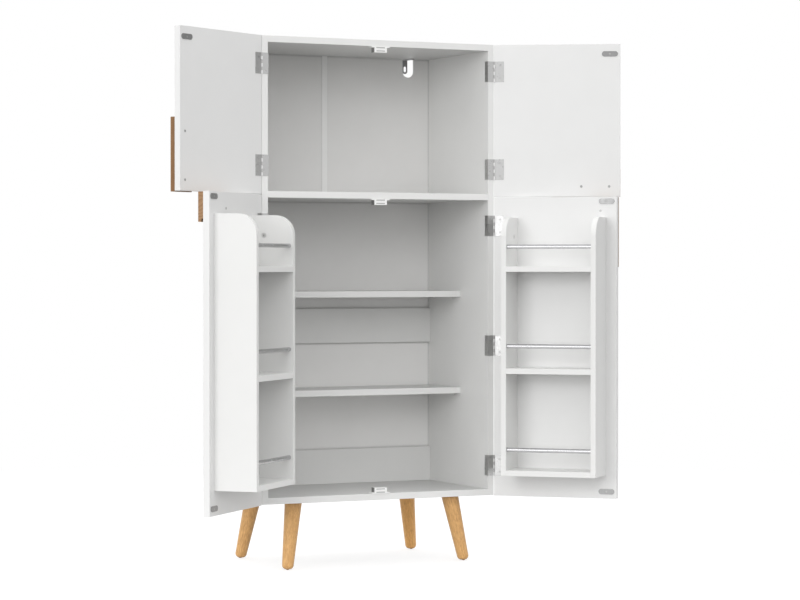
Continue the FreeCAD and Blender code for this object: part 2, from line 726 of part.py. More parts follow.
for door, plan in DOORS.items():
    side, low, high = plan["side"], plan["low"], plan["high"]
    screws = []
    door_tools = []

    def at(reach, out, height):
        """A point given by its reach, out and height, in the door's own axes."""
        return (f"{-side} * ({reach})", f"-({out})", height)

    def hang(name, piece):
        """Hands a sub-part in on its door, turned open about the hinge axis."""
        turn = ("0; 0; 1", f"{side} * {door}_open_angle")
        return keep(name, place(piece, (f"{side} * {AXIS_X}", AXIS_Y, "0"), turn))

    def between(name, maker, reach, out, height):
        """A box or board between two reaches, two outs and two heights."""
        size = [f"{far} - ({near})" for near, far in (reach, out, height)]
        return maker(name, size, at(*[f"({far} + ({near})) / 2" for near, far in (reach, out, height)]))

    def door_screw(name, spot, kind, length):
        """A screw driven outwards from the inner side of the door, and the hole for it."""
        screws.append(screw(name, at(*spot), "y", -1, kind, length))
        return screw_hole(name, at(*spot), "y", -1, kind, length)

    # Hinges
    heights = [f"({low} + {plan['hinges'][0]})", f"({high} - {plan['hinges'][1]})"]
    if plan["middle_hinge"]:
        heights.append(f"(({heights[0]} + {heights[1]}) / 2)")
    leaves = []
    for height in heights:
        case_leaf(side, height)
        span = (f"{height} - hinge_length / 2", f"{height} + hinge_length / 2")
        leaf_out = (f"{DOOR_FACE} - hinge_leaf", DOOR_FACE)
        pieces = [between("leaf", block, (LEAF_START, "hinge_leaf_reach"), leaf_out, span)]
        for middle in segments(height, 1):
            tab = (f"{middle} - ({KNUCKLE_LENGTH}) / 2", f"{middle} + ({KNUCKLE_LENGTH}) / 2")
            pieces.append(between("leaf_tab", block, ("0", LEAF_START), leaf_out, tab))
            pieces.append(rod("leaf_knuckle", KNUCKLE, KNUCKLE_LENGTH, ("0", "0", middle), "z"))
        tools = [rod("leaf_bore", *BORE, ("0", "0", height), "z")]
        for way in (-1, 1):
            spot = (f"{LEAF_SCREW_SHARE} * hinge_leaf_reach", leaf_out[0],
                    f"{height} + {way} * hinge_screw_spread / 2")
            hole = door_screw("leaf_screw", spot, *SMALL)
            tools += hole
            door_tools += hole
        leaves.append(cut("door_leaf", fuse("door_leaf_solid", pieces), tools))
    hang(f"{door}_hinge_leaves", group(f"{door}_hinge_leaves", leaves))

    # Strike plates
    plates = []
    plate_reach = f"({FREE_EDGE} - strike_inset)"
    plate_out = (f"{DOOR_FACE} - strike_steel", DOOR_FACE)
    half_straight = "(strike_length - strike_width) / 2"
    for height in plan["strikes"]:
        straight = (f"{plate_reach} - {half_straight}", f"{plate_reach} + {half_straight}")
        span = (f"{height} - strike_width / 2", f"{height} + strike_width / 2")
        pieces = [between("strike", block, straight, plate_out, span)]
        for way in (-1, 1):
            spot = at(f"{plate_reach} + {way} * {half_straight}", f"{DOOR_FACE} - strike_steel / 2", height)
            pieces.append(rod("strike_end", "strike_width", "strike_steel", spot, "y"))
        hole = door_screw("strike_screw", (plate_reach, plate_out[0], height), *SMALL)
        door_tools += hole
        plates.append(cut("strike_plate", fuse("strike_solid", pieces), hole))
    hang(f"{door}_strike_plates", group(f"{door}_strike_plates", plates))

    # Grip: a block with a finger rebate along the edge away from the joint between the doors
    grip_outline = [
        ("0", "0"),
        ("grip_width - grip_rebate_width", "0"),
        ("grip_width - grip_rebate_width", "grip_rebate_depth"),
        ("grip_width", "grip_rebate_depth"),
        ("grip_width", "grip_thickness"),
        ("0", "grip_thickness"),
    ]
    grip_face = number("grip_thickness")
    grip = padded(f"{door}_grip_blank", grip_outline, "grip_length")
    eased(grip, "grip_round", lambda box: box.YMin > grip_face - TOUCH)
    joint_edge, away = (high, -1) if plan["lower"] else (low, 1)
    corner = at(f"{FREE_EDGE} - {door}_grip_inset", DOOR_BACK, f"{joint_edge} + {away} * {door}_grip_drop")
    place(grip, corner, (plan["grip_turn"], "180"))
    grip_tools = []
    for count in ("first", "second"):
        spot = (f"{FREE_EDGE} - {door}_{count}_inset", DOOR_FACE,
                f"{joint_edge} + {away} * {door}_{count}_drop")
        hole = door_screw("grip_screw", spot, "grip_screw", "(door_board + grip_screw_bite)")
        grip_tools += hole
        door_tools += hole
    hang(f"{door}_grip", cut(f"{door}_grip", grip, grip_tools))

    # Rack
    if plan["lower"]:
        rack_low = f"({CASE_LOW} + rack_rise)"
        rack_high = f"({rack_low} + {RACK_HEIGHT})"
        rack_front = f"({DOOR_FACE} - rack_depth)"
        rail_out = f"{rack_front} + rack_rail_inset"
        rail_middle = f"({RACK_HINGE} + {RACK_FREE}) / 2"
        rail_length = f"({RACK_FREE} - {RACK_HINGE} - 2 * rack_board + 2 * rack_rail_bite)"
        shelf_reach = (f"{RACK_HINGE} + rack_board", f"{RACK_FREE} - rack_board")
        shelves = []
        rails = []
        side_holes = []
        for step, lift in enumerate(("rack_rail_lift_low", "rack_rail_lift_middle", "rack_rail_lift_high")):
            shelf_low = f"{rack_low} + {step} * rack_shelf_step"
            shelf_span = (shelf_low, f"{shelf_low} + rack_shelf")
            shelves.append(between("rack_shelf", board, shelf_reach, (rack_front, DOOR_FACE), shelf_span))
            spot = at(rail_middle, rail_out, f"{shelf_low} + {lift}")
            rails.append(rod("rack_rail", "rack_rail", rail_length, spot, "x"))
            hole = ("rack_rail + 2 * fit_play", f"{rail_length} + 2 * end_play")
            side_holes.append(rod("rack_rail_hole", *hole, spot, "x"))
        fixings = []
        sides = []
        # each side board: its outer face, and the way from there to the middle of the rack
        for outer, inwards in ((RACK_HINGE, 1), (RACK_FREE, -1)):
            middle = f"({outer} + {inwards} * rack_board / 2)"
            cam_middle = f"({outer} + {inwards} * (rack_board - cam_depth / 2))"
            cam_out = f"({DOOR_FACE} - cam_setback)"
            cam_spot = at(cam_middle, cam_out, f"{rack_high} - cam_drop")
            fixings.append(rod("cam", "cam", "cam_depth", cam_spot, "x"))
            holes = [rod("cam_hole", "cam + 2 * fit_play", "cam_depth + 2 * fit_play", cam_spot, "x")]
            bolt_start = at(cam_middle, f"{cam_out} + cam / 2 + fit_play", f"{rack_high} - cam_drop")
            bolt_length = "cam_setback - cam / 2 - fit_play + cam_bolt_bite"
            fixings.append(pin("cam_bolt", "cam_bolt", bolt_length, bolt_start, "y", -1))
            hole = ("cam_bolt + 2 * fit_play", f"{bolt_length} + end_play")
            holes.append(pin("cam_bolt_hole", *hole, bolt_start, "y", -1))
            for share in RACK_DOWEL_SHARES:
                spot = at(middle, f"{DOOR_FACE} + rack_dowel_bite - rack_dowel_length / 2",
                          f"{rack_low} + {share} * {RACK_HEIGHT}")
                fixings.append(rod("rack_dowel", "rack_dowel", "rack_dowel_length", spot, "y"))
                hole = ("rack_dowel + 2 * fit_play", "rack_dowel_length + 2 * end_play")
                holes.append(rod("rack_dowel_hole", *hole, spot, "y"))
            outline = [("0", "0"), ("rack_depth", "0"), ("rack_depth", RACK_HEIGHT), ("0", RACK_HEIGHT)]
            upright = padded("rack_side", outline, "rack_board")
            corner_x = number("rack_depth") - TOUCH
            corner_y = number(RACK_HEIGHT) - TOUCH
            eased(upright, "rack_corner", lambda box: box.XMin > corner_x and box.YMin > corner_y)
            base = at(middle, DOOR_FACE, rack_low)
            place(upright, (f"{base[0]} - rack_board / 2", base[1], base[2]), ("1; 1; 1", "120"))
            sides.append(cut("rack_side_drilled", upright, side_holes + holes))
            door_tools += holes
        hang(f"{door}_rack_sides", group(f"{door}_rack_sides", sides))
        hang(f"{door}_rack_shelves", group(f"{door}_rack_shelves", shelves))
        hang(f"{door}_rack_rails", group(f"{door}_rack_rails", rails))
        hang(f"{door}_rack_fixings", group(f"{door}_rack_fixings", fixings))

    blank = between(f"{door}_door", board, ("-door_lap", FREE_EDGE), (DOOR_FACE, DOOR_BACK), (low, high))
    hang(f"{door}_door", cut(f"{door}_door", blank, door_tools))
    hang(f"{door}_screws", group(f"{door}_screws", screws))

keep("hinge_case_leaves", group("hinge_case_leaves", case_leaves))
keep("hinge_pins", group("hinge_pins", hinge_pins))
keep("case_small_screws", group("case_small_screws", small_screws))

# Panels last, when every hole in them is known
for label, height, tools in (("top_panel", CEILING, top_tools),
                             ("middle_divider", DIVIDER_LOW, divider_tools),
                             ("bottom_panel", CASE_LOW, bottom_tools)):
    keep(label, cut(label, board(label, PANEL, ("0", "0", f"{height} + board / 2")), tools))
for label, side in (("side_panel_left", -1), ("side_panel_right", 1)):
    blank = board(label, ("board", "case_depth", "case_height"),
                  (f"{side} * ({INNER} + board / 2)", "0", f"{CASE_LOW} + case_height / 2"))
    size = ("2 * groove_depth", "back_sheet + groove_play", "2 * case_height")
    centre = (f"{side} * {INNER}", BACK, f"{CASE_LOW} + case_height / 2")
    upright_groove = block(label + "_groove", size, centre)
    keep(label, cut(label, blank, side_tools[side] + [upright_groove]))
keep("case_dowels", group("case_dowels", case_dowels))
keep("case_screws", group("case_screws", case_screws))
keep("screw_cover_discs", group("screw_cover_discs", cover_discs))

doc.recompute()
for piece in doc.Objects:
    if "Invalid" in piece.State or "Error" in piece.State:
        raise RuntimeError(f"{piece.Label}: {piece.State}")
os.makedirs("parts", exist_ok=True)
for piece in nodes:
    if piece.Shape.isNull() or not piece.Shape.isValid():
        raise RuntimeError(f"{piece.Label}: no valid shape")
    piece.Shape.exportStep(f"parts/{piece.Label}.step")
print(len(nodes), "sub-parts written")
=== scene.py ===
import json
import math

import bmesh
import bpy
from mathutils import Matrix, Vector


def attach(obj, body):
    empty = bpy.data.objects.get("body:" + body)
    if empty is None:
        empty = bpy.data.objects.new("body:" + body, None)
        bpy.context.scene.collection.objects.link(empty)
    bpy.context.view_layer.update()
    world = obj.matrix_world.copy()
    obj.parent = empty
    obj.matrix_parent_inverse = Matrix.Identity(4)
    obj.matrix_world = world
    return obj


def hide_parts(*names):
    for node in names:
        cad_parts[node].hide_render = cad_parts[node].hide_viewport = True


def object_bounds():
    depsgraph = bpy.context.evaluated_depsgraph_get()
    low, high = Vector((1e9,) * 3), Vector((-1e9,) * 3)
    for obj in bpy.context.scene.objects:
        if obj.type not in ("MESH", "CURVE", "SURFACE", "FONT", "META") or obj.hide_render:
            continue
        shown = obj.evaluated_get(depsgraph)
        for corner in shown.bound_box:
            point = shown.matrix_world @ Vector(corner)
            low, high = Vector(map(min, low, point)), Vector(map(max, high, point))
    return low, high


# Looks of a tall kitchen cupboard whose four doors stand open.
# Metres throughout, +Z up, front towards -Y, origin on the floor under the middle of the case.
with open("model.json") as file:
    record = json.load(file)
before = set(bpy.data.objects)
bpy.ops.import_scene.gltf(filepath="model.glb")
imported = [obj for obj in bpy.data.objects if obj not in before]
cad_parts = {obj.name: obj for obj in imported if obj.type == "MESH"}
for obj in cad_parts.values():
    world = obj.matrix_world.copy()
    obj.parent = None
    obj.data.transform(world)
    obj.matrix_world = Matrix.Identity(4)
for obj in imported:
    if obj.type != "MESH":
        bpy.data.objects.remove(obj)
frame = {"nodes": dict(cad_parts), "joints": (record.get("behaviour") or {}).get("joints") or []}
cad_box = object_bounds()
nodes = frame["nodes"]
MM = 0.001

# Camera of the photograph, its angles in degrees and its lens and sensor in mm
CAMERA_PLACE = (-2.6767, -5.6795, 0.6943)
CAMERA_YAW = 26.32
CAMERA_PITCH = -0.69
CAMERA_LENS = 118.29
SENSOR = 36.0

# Soft lamps: where each stands, how wide and high it is, its power in watts, and whether metal mirrors it
LAMP_TARGET = (0.0, -0.1, 0.65)
LAMPS = {
    "left_lamp": ((-4.2, -3.4, 1.5), (2.6, 2.6), 36.5, False),
    "glint_lamp": ((-4.2, -3.0, 1.2), (2.2, 2.4), 36.0, True),
    "far_left_lamp": ((-3.7, -6.2, 2.8), (1.6, 1.6), 28.0, False),
}
SKY_LIGHT = 1.26
SKY_SEEN = 1.0

# A grey card to the right of the cupboard, which only mirrored light meets
CARD_PLACE = (3.2, -0.2, 1.2)
CARD_SIZE = (3.2, 2.4)
CARD_GLOW = (0.45, 0.48)
CARD_WEAVE = 8.0


def rgb(red, green, blue):
    """An opaque colour."""
    return (red, green, blue, 1.0)


WHITE = rgb(1.0, 1.0, 1.0)

# The floor: what is seen of it fades to white with distance, and the light it throws up fades to dark
FLOOR_SIZE = 60.0
FLOOR_FADE = (1.2, 3.0)
FLOOR_GLOW = 0.70
FLOOR_PAINT = rgb(0.38, 0.38, 0.38)
BOUNCE_NEAR = rgb(0.62, 0.62, 0.62)
BOUNCE_FAR = rgb(0.14, 0.14, 0.14)
BOUNCE_FADE = (0.55, 1.1)


# Short calls for wiring shader nodes

class Wiring:
    """A node tree with a short call for adding a node and joining its inputs."""

    def __init__(self, tree):
        self.tree = tree

    def add(self, kind, inputs=None, **settings):
        node = self.tree.nodes.new(kind)
        for name, value in settings.items():
            setattr(node, name, value)
        for key, value in (inputs or {}).items():
            self.join(node.inputs[key], value)
        return node

    def join(self, socket, value):
        if isinstance(value, bpy.types.NodeSocket):
            self.tree.links.new(value, socket)
        else:
            socket.default_value = value

    def math(self, operation, *values):
        return self.add("ShaderNodeMath", dict(enumerate(values)), operation=operation).outputs[0]

    def times(self, first, second):
        return self.math("MULTIPLY", first, second)

    def weighed(self, first, first_share, second, second_share):
        """Adds two values, each scaled by its share."""
        return self.math("ADD", self.times(first, first_share), self.times(second, second_share))

    def vector_node(self, operation, values):
        return self.add("ShaderNodeVectorMath", dict(enumerate(values)), operation=operation)

    def vector(self, operation, *values):
        return self.vector_node(operation, values).outputs["Vector"]

    def measure(self, operation, *values):
        """A length, a distance or a dot product of vectors."""
        return self.vector_node(operation, values).outputs["Value"]

    def part(self, vector, axis):
        """The X, Y or Z of a vector."""
        return self.add("ShaderNodeSeparateXYZ", {"Vector": vector}).outputs[axis]

    def looks_along(self, axis):
        """The X, Y or Z of the direction that the flat surface looks in."""
        return self.part(self.add("ShaderNodeNewGeometry").outputs["True Normal"], axis)

    def noise(self, vector, scale=1.0, detail=2.0, roughness=0.5, distortion=0.0):
        inputs = {"Vector": vector, "Scale": scale, "Detail": detail, "Roughness": roughness,
                  "Distortion": distortion}
        return self.add("ShaderNodeTexNoise", inputs).outputs["Fac"]

    def stretched_noise(self, vector, stretch, **settings):
        """Noise with its own number of features to the metre along each axis."""
        return self.noise(self.vector("MULTIPLY", vector, stretch), **settings)

    def span(self, value, low, high, new_low=0.0, new_high=1.0):
        """Stretches a range of values to another one, held at its ends."""
        inputs = {"Value": value, "From Min": low, "From Max": high, "To Min": new_low, "To Max": new_high}
        return self.add("ShaderNodeMapRange", inputs, clamp=True).outputs["Result"]

    def blend(self, share, first, second):
        """Mixes two colours."""
        node = self.add("ShaderNodeMix", data_type="RGBA", clamp_factor=True)
        for socket, value in zip((node.inputs[0], node.inputs[6], node.inputs[7]), (share, first, second)):
            self.join(socket, value)
        return node.outputs[2]

    def group(self, tree, **inputs):
        node = self.add("ShaderNodeGroup", node_tree=tree)
        for name, value in inputs.items():
            self.join(node.inputs[name.replace("_", " ")], value)
        return node.outputs


def emptied(block):
    """The wiring of a new material or world, with no node in it yet."""
    block.use_nodes = True
    block.node_tree.nodes.clear()
    return Wiring(block.node_tree)


# Effects that several finishes share

VALUE = "NodeSocketFloat"
POINT = "NodeSocketVector"
NOISE_REACH = (0.3, 0.7)
SHADER_SAMPLES = 6


def effect(name, inputs, outputs, wire):
    """A shader node group.

    inputs and outputs pair each socket's name with its kind, and wire gives the output values in order.
    """
    tree = bpy.data.node_groups.new(name, "ShaderNodeTree")
    for label, kind in inputs.items():
        tree.interface.new_socket(label, in_out="INPUT", socket_type=kind)
    for label, kind in outputs.items():
        tree.interface.new_socket(label, in_out="OUTPUT", socket_type=kind)
    wiring = Wiring(tree)
    entry = wiring.add("NodeGroupInput").outputs
    leaving = wiring.add("NodeGroupOutput")
    for socket, value in zip(leaving.inputs, wire(wiring, entry)):
        wiring.join(socket, value)
    return tree


def wire_board_texture(wiring, entry):
    """The faint orange peel of a faced board, with slow drifts of tone and gloss."""
    spot = entry["Vector"]
    drift = wiring.noise(spot, scale=3.1, detail=3.0, roughness=0.55)
    cloud = wiring.noise(spot, scale=17.0)
    peel = wiring.noise(spot, scale=entry["Peel Scale"], detail=3.0, roughness=0.6)
    speck = wiring.noise(spot, scale=2600.0, detail=1.0)
    tone = wiring.weighed(drift, 0.6, cloud, 0.4)
    gloss = wiring.weighed(cloud, 0.5, peel, 0.5)
    height = wiring.weighed(peel, 1.0, speck, 0.25)
    return wiring.span(tone, *NOISE_REACH), wiring.span(gloss, *NOISE_REACH), height


BOARD_TEXTURE = effect(
    "board texture",
    {"Vector": POINT, "Peel Scale": VALUE},
    {"Tone": VALUE, "Gloss": VALUE, "Height": VALUE},
    wire_board_texture)

WEAR_TURN = (0.01, 0.16)
WEAR_BREAKS = (0.35, 0.65)


def wire_edge_wear_and_glint(wiring, entry):
    """A mask along outer edges, broken up so that it comes and goes."""
    inputs = {"Radius": entry["Width"]}
    rounded = wiring.add("ShaderNodeBevel", inputs, samples=SHADER_SAMPLES).outputs["Normal"]
    plain = wiring.add("ShaderNodeNewGeometry").outputs["Normal"]
    turn = wiring.math("SUBTRACT", 1.0, wiring.measure("DOT_PRODUCT", rounded, plain))
    breaks = wiring.noise(entry["Vector"], scale=entry["Break Scale"], detail=4.0, roughness=0.6)
    return (wiring.times(wiring.span(turn, *WEAR_TURN), wiring.span(breaks, *WEAR_BREAKS)),)


EDGE_WEAR_AND_GLINT = effect(
    "edge wear",
    {"Vector": POINT, "Width": VALUE, "Break Scale": VALUE},
    {"Mask": VALUE},
    wire_edge_wear_and_glint)

# Features to the metre, along the grain first
SWAY_SCALE = 22.0
GRAIN_STRETCH = (0.09, 1.0, 1.0)
FIBRE_STRETCH = (18.0, 900.0, 900.0)
PORE_STRETCH = (55.0, 1500.0, 1500.0)
FLECK_STRETCH = (90.0, 300.0, 300.0)
# Where noise turns into pores and flecks, how a growth band rises and falls, and what each adds
PORE_REACH = (0.62, 0.72)
FLECK_REACH = (0.36, 0.64)
RING_FLATNESS = 0.7
RING_RISE = (0.0, 0.72)
RING_FALL = (1.0, 0.86)
BAND_SHARE = 0.62
FIBRE_SHARE = 0.38
FIBRE_HEIGHT = 0.5
PORE_HEIGHT = -0.8


def wire_wood_grain(wiring, entry):
    """Long growth bands, short flecks, fine fibres and open pores that run along X."""
    spot = entry["Vector"]
    long_way = wiring.vector("MULTIPLY", spot, GRAIN_STRETCH)
    sway = wiring.noise(long_way, scale=SWAY_SCALE)
    from_heart = wiring.add("ShaderNodeCombineXYZ", {
        "Y": wiring.math("ADD", wiring.part(long_way, "Y"), entry["Heart"]),
        "Z": wiring.times(wiring.part(long_way, "Z"), RING_FLATNESS)}).outputs["Vector"]
    rings = wiring.weighed(wiring.measure("LENGTH", from_heart), 1.0, sway, entry["Sway"])
    phase = wiring.math("FRACT", wiring.times(rings, entry["Ring Scale"]))
    band = wiring.times(wiring.span(phase, *RING_RISE), wiring.span(phase, *RING_FALL))
    fibre = wiring.stretched_noise(spot, FIBRE_STRETCH, detail=3.0, roughness=0.6)
    pores = wiring.stretched_noise(spot, PORE_STRETCH, detail=1.0, roughness=0.4)
    pores = wiring.span(pores, *PORE_REACH)
    flecks = wiring.stretched_noise(spot, FLECK_STRETCH, detail=4.0, roughness=0.65)
    flecks = wiring.span(flecks, *FLECK_REACH)
    band_share = wiring.math("SUBTRACT", BAND_SHARE, entry["Flecks"])
    figure = wiring.weighed(band, band_share, fibre, FIBRE_SHARE)
    figure = wiring.weighed(figure, 1.0, flecks, entry["Flecks"])
    return figure, pores, wiring.weighed(fibre, FIBRE_HEIGHT, pores, PORE_HEIGHT)


WOOD_GRAIN = effect(
    "wood grain",
    {"Vector": POINT, "Ring Scale": VALUE, "Sway": VALUE, "Heart": VALUE, "Flecks": VALUE},
    {"Figure": VALUE, "Pores": VALUE, "Height": VALUE},
    wire_wood_grain)

PATCH_REACH = (0.35, 0.65)


def wire_metal_brushing(wiring, entry):
    """Fine lines along one axis and cloudy patches, for rolled and brushed metal."""
    lines = wiring.stretched_noise(entry["Vector"], entry["Stretch"], detail=3.0, roughness=0.65)
    patches = wiring.noise(entry["Vector"], scale=160.0, detail=3.0, roughness=0.6)
    mixed = wiring.weighed(lines, 0.65, patches, 0.35)
    return wiring.span(mixed, *NOISE_REACH), wiring.span(patches, *PATCH_REACH), lines


METAL_BRUSHING = effect(
    "metal brushing",
    {"Vector": POINT, "Stretch": POINT},
    {"Lines": VALUE, "Patches": VALUE, "Height": VALUE},
    wire_metal_brushing)

CORNER_OPENNESS = (1.0, 0.4)


def wire_corner_shade(wiring, entry):
    """A mask for painted shade, which grows towards inner corners as far out as the given reach."""
    inputs = {"Distance": entry["Reach"]}
    open_share = wiring.add("ShaderNodeAmbientOcclusion", inputs, samples=SHADER_SAMPLES).outputs["AO"]
    return (wiring.span(open_share, *CORNER_OPENNESS),)


CORNER_SHADE = effect("painted corner shade", {"Reach": VALUE}, {"Mask": VALUE}, wire_corner_shade)


# Kinds of finish

class Finish:
    """A new material: its wiring, its shader and the coordinates of the piece it is on."""

    def __init__(self, name, **shader_values):
        self.material = bpy.data.materials.new(name)
        self.wiring = emptied(self.material)
        self.shader = self.wiring.add("ShaderNodeBsdfPrincipled")
        for label, value in shader_values.items():
            self.shader.inputs[label.replace("_", " ")].default_value = value
        self.wiring.add("ShaderNodeOutputMaterial", {"Surface": self.shader.outputs["BSDF"]})
        self.spot = self.wiring.add("ShaderNodeTexCoord").outputs["Object"]

    def set(self, label, value):
        self.wiring.join(self.shader.inputs[label], value)

    def wander(self, mask, middle, below, above):
        """A roughness that wanders round a middle value."""
        return self.wiring.span(mask, 0.0, 1.0, middle - below, middle + above)

    def wear_and_glint_edges(self, colour, width, break_scale, share, edge_colour):
        """A colour that shows another one along its edges: rubbed edges on most finishes, a painted
        highlight on the hinge steel.
        """
        wear_and_glint = self.wiring.group(EDGE_WEAR_AND_GLINT, Vector=self.spot, Width=width, Break_Scale=break_scale)["Mask"]
        return self.wiring.blend(self.wiring.times(wear_and_glint, share), colour, edge_colour)

    def bump(self, height, depth):
        node = self.wiring.add("ShaderNodeBump", {"Height": height, "Distance": depth, "Strength": 1.0})
        self.set("Normal", node.outputs["Normal"])


# Within this depth a face counts as lying in a plane
SKIN = 0.3 * MM
# From the first to the second share a face comes to count as looking along an axis
SQUARE_ON = (0.8, 0.95)
# Painted shade in inner corners: its colour, which the back sheets and the top share, and how far it
# reaches
SHADE_AND_DUST = rgb(0.36, 0.36, 0.355)
CORNER_SHADE_REACH = 0.3
TOP_PLANE = cad_box[1][2]
# Dust on the top, as strong as this, which also darkens the top as painted shade
TOP_DUST_AND_SHADE = (0.26, 0.34)
WORN_BAND = rgb(0.66, 0.65, 0.62)
PEEL_DEPTH = 0.04 * MM


def faced_board(name, light, dark, roughness, peel_scale, corner_dust=0.0, raw_rear=False):
    """White faced board whose banded edges are a little rubbed."""
    made = Finish(name, Specular_IOR_Level=0.35)
    wiring = made.wiring
    texture = wiring.group(BOARD_TEXTURE, Vector=made.spot, Peel_Scale=peel_scale)
    colour = wiring.blend(texture["Tone"], dark, light)
    colour = made.wear_and_glint_edges(colour, width=1.2 * MM, break_scale=60.0, share=0.35, edge_colour=WORN_BAND)
    # painted shade in the inner corners, and on the top a grey layer that is partly painted shade
    if corner_dust:
        colour = with_shade_and_dust(made, colour, corner_dust)
    roughness = made.wander(texture["Gloss"], roughness, below=0.05, above=0.05)
    if raw_rear:
        colour, roughness = raw_rear_edges(made, colour, roughness)
    made.set("Base Color", colour)
    made.set("Roughness", roughness)
    made.bump(texture["Height"], PEEL_DEPTH)
    return made.material


def with_shade_and_dust(made, colour, corner_dust):
    """Painted shade in the corners of level faces, undersides too. Dust lies in a thin layer on the top of
    the cupboard and also darkens it as painted shade.
    """
    wiring = made.wiring
    corners = wiring.group(CORNER_SHADE, Reach=CORNER_SHADE_REACH)["Mask"]
    level = wiring.math("ABSOLUTE", wiring.looks_along("Z"))
    on_top = wiring.times(level, wiring.span(wiring.part(made.spot, "Z"), TOP_PLANE - SKIN, TOP_PLANE))
    # Dust on the top, which also darkens it as painted shade
    top_dust_and_shade = wiring.noise(made.spot, scale=9.0, detail=4.0, roughness=0.6)
    top_dust_and_shade = wiring.span(top_dust_and_shade, *NOISE_REACH, *TOP_DUST_AND_SHADE)
    shade_and_dust = wiring.weighed(corners, wiring.times(level, corner_dust), on_top, top_dust_and_shade)
    return wiring.blend(shade_and_dust, colour, SHADE_AND_DUST)


REAR_PLANE = 0.1645
CHIP_PALE = rgb(0.52, 0.40, 0.26)
CHIP_DARK = rgb(0.23, 0.15, 0.08)
CHIP_SCALE = 420.0
CHIP_ROUGHNESS = 0.9


def raw_rear_edges(made, colour, roughness):
    """Chipboard showing where the edges at the rear of the case have no band."""
    wiring = made.wiring
    at_rear = wiring.span(wiring.part(made.spot, "Y"), REAR_PLANE, REAR_PLANE + SKIN)
    rear = wiring.times(at_rear, wiring.span(wiring.looks_along("Y"), *SQUARE_ON))
    chips = wiring.add("ShaderNodeTexVoronoi", {"Vector": made.spot, "Scale": CHIP_SCALE}).outputs["Color"]
    shade = wiring.add("ShaderNodeSeparateColor", {"Color": chips}).outputs[0]
    raw = wiring.blend(shade, CHIP_DARK, CHIP_PALE)
    rear_roughness = wiring.times(rear, CHIP_ROUGHNESS)
    return wiring.blend(rear, colour, raw), wiring.math("MAXIMUM", roughness, rear_roughness)


# Painted shade on the back sheets beside the rails and the joint strip: how far it reaches and how strong
# it is
SHEET_SHADE_REACH = 6.0 * MM
SHEET_SHADE = 0.55
SHEET_PEEL_DEPTH = 0.06 * MM
SHEET_ROUGHNESS = 0.5
HAIR_STRETCH = (380.0, 1.0, 420.0)
BARE_DARK = rgb(0.19, 0.115, 0.06)
BARE_PALE = rgb(0.30, 0.195, 0.11)
BARE_ROUGHNESS = 0.25
REARWARD = (0.3, 0.6)


def back_board(name, dark, light):
    """Thin hardboard, painted white inside and bare brown behind, with painted shade where the rails and
    the joint strip stand out from it.
    """
    made = Finish(name, Specular_IOR_Level=0.3)
    wiring = made.wiring
    texture = wiring.group(BOARD_TEXTURE, Vector=made.spot, Peel_Scale=520.0)
    painted = wiring.blend(texture["Tone"], dark, light)
    # painted contact shade along the rails and the joint strip
    corners = wiring.group(CORNER_SHADE, Reach=SHEET_SHADE_REACH)["Mask"]
    painted = wiring.blend(wiring.times(corners, SHEET_SHADE), painted, SHADE_AND_DUST)
    hair = wiring.stretched_noise(made.spot, HAIR_STRETCH, detail=5.0, roughness=0.7, distortion=1.5)
    bare = wiring.blend(wiring.span(hair, *NOISE_REACH), BARE_DARK, BARE_PALE)
    rear = wiring.span(wiring.looks_along("Y"), *REARWARD)
    roughness = made.wander(texture["Gloss"], SHEET_ROUGHNESS, below=0.05, above=0.06)
    made.set("Base Color", wiring.blend(rear, painted, bare))
    made.set("Roughness", wiring.weighed(roughness, 1.0, rear, BARE_ROUGHNESS))
    made.bump(texture["Height"], SHEET_PEEL_DEPTH)
    return made.material


ACROSS = Vector((1.0, 0.0, 0.0))
GRAIN_DEPTH = 0.12 * MM
RING_SWAY = 0.02
PORE_SHARE = 0.55
DRIFT_SHARE = 0.3


def solid_wood(name, grain_axis, tones, ring_scale, heart, roughness, coat, flecks=0.0, specular=0.45):
    """Varnished wood whose grain runs along the given axis, in a pale, a dark and a pore tone."""
    pale, dark, pore = tones
    made = Finish(name, Specular_IOR_Level=specular, Coat_Weight=coat, Coat_Roughness=0.25)
    wiring = made.wiring
    turn = Vector(grain_axis).normalized().rotation_difference(ACROSS).to_euler()
    inputs = {"Vector": made.spot, "Rotation": tuple(turn)}
    spot = wiring.add("ShaderNodeVectorRotate", inputs, rotation_type="EULER_XYZ").outputs["Vector"]
    grain = wiring.group(WOOD_GRAIN, Vector=spot, Ring_Scale=ring_scale, Sway=RING_SWAY, Heart=heart,
                         Flecks=flecks)
    colour = wiring.blend(grain["Figure"], pale, dark)
    drift = wiring.span(wiring.noise(spot, scale=14.0), *NOISE_REACH)
    warm = wiring.blend(0.5, pale, dark)
    colour = wiring.blend(wiring.times(drift, DRIFT_SHARE), colour, warm)
    colour = wiring.blend(wiring.times(grain["Pores"], PORE_SHARE), colour, pore)
    made.set("Base Color", colour)
    made.set("Roughness", made.wander(grain["Figure"], roughness, below=0.06, above=0.08))
    made.bump(grain["Height"], GRAIN_DEPTH)
    return made.material


HINGE_AXIS = [abs(value) for value in frame["joints"][0]["pos_m"]]
KNUCKLE_REACH = 1.9 * MM
KNUCKLE_RIM = 0.95


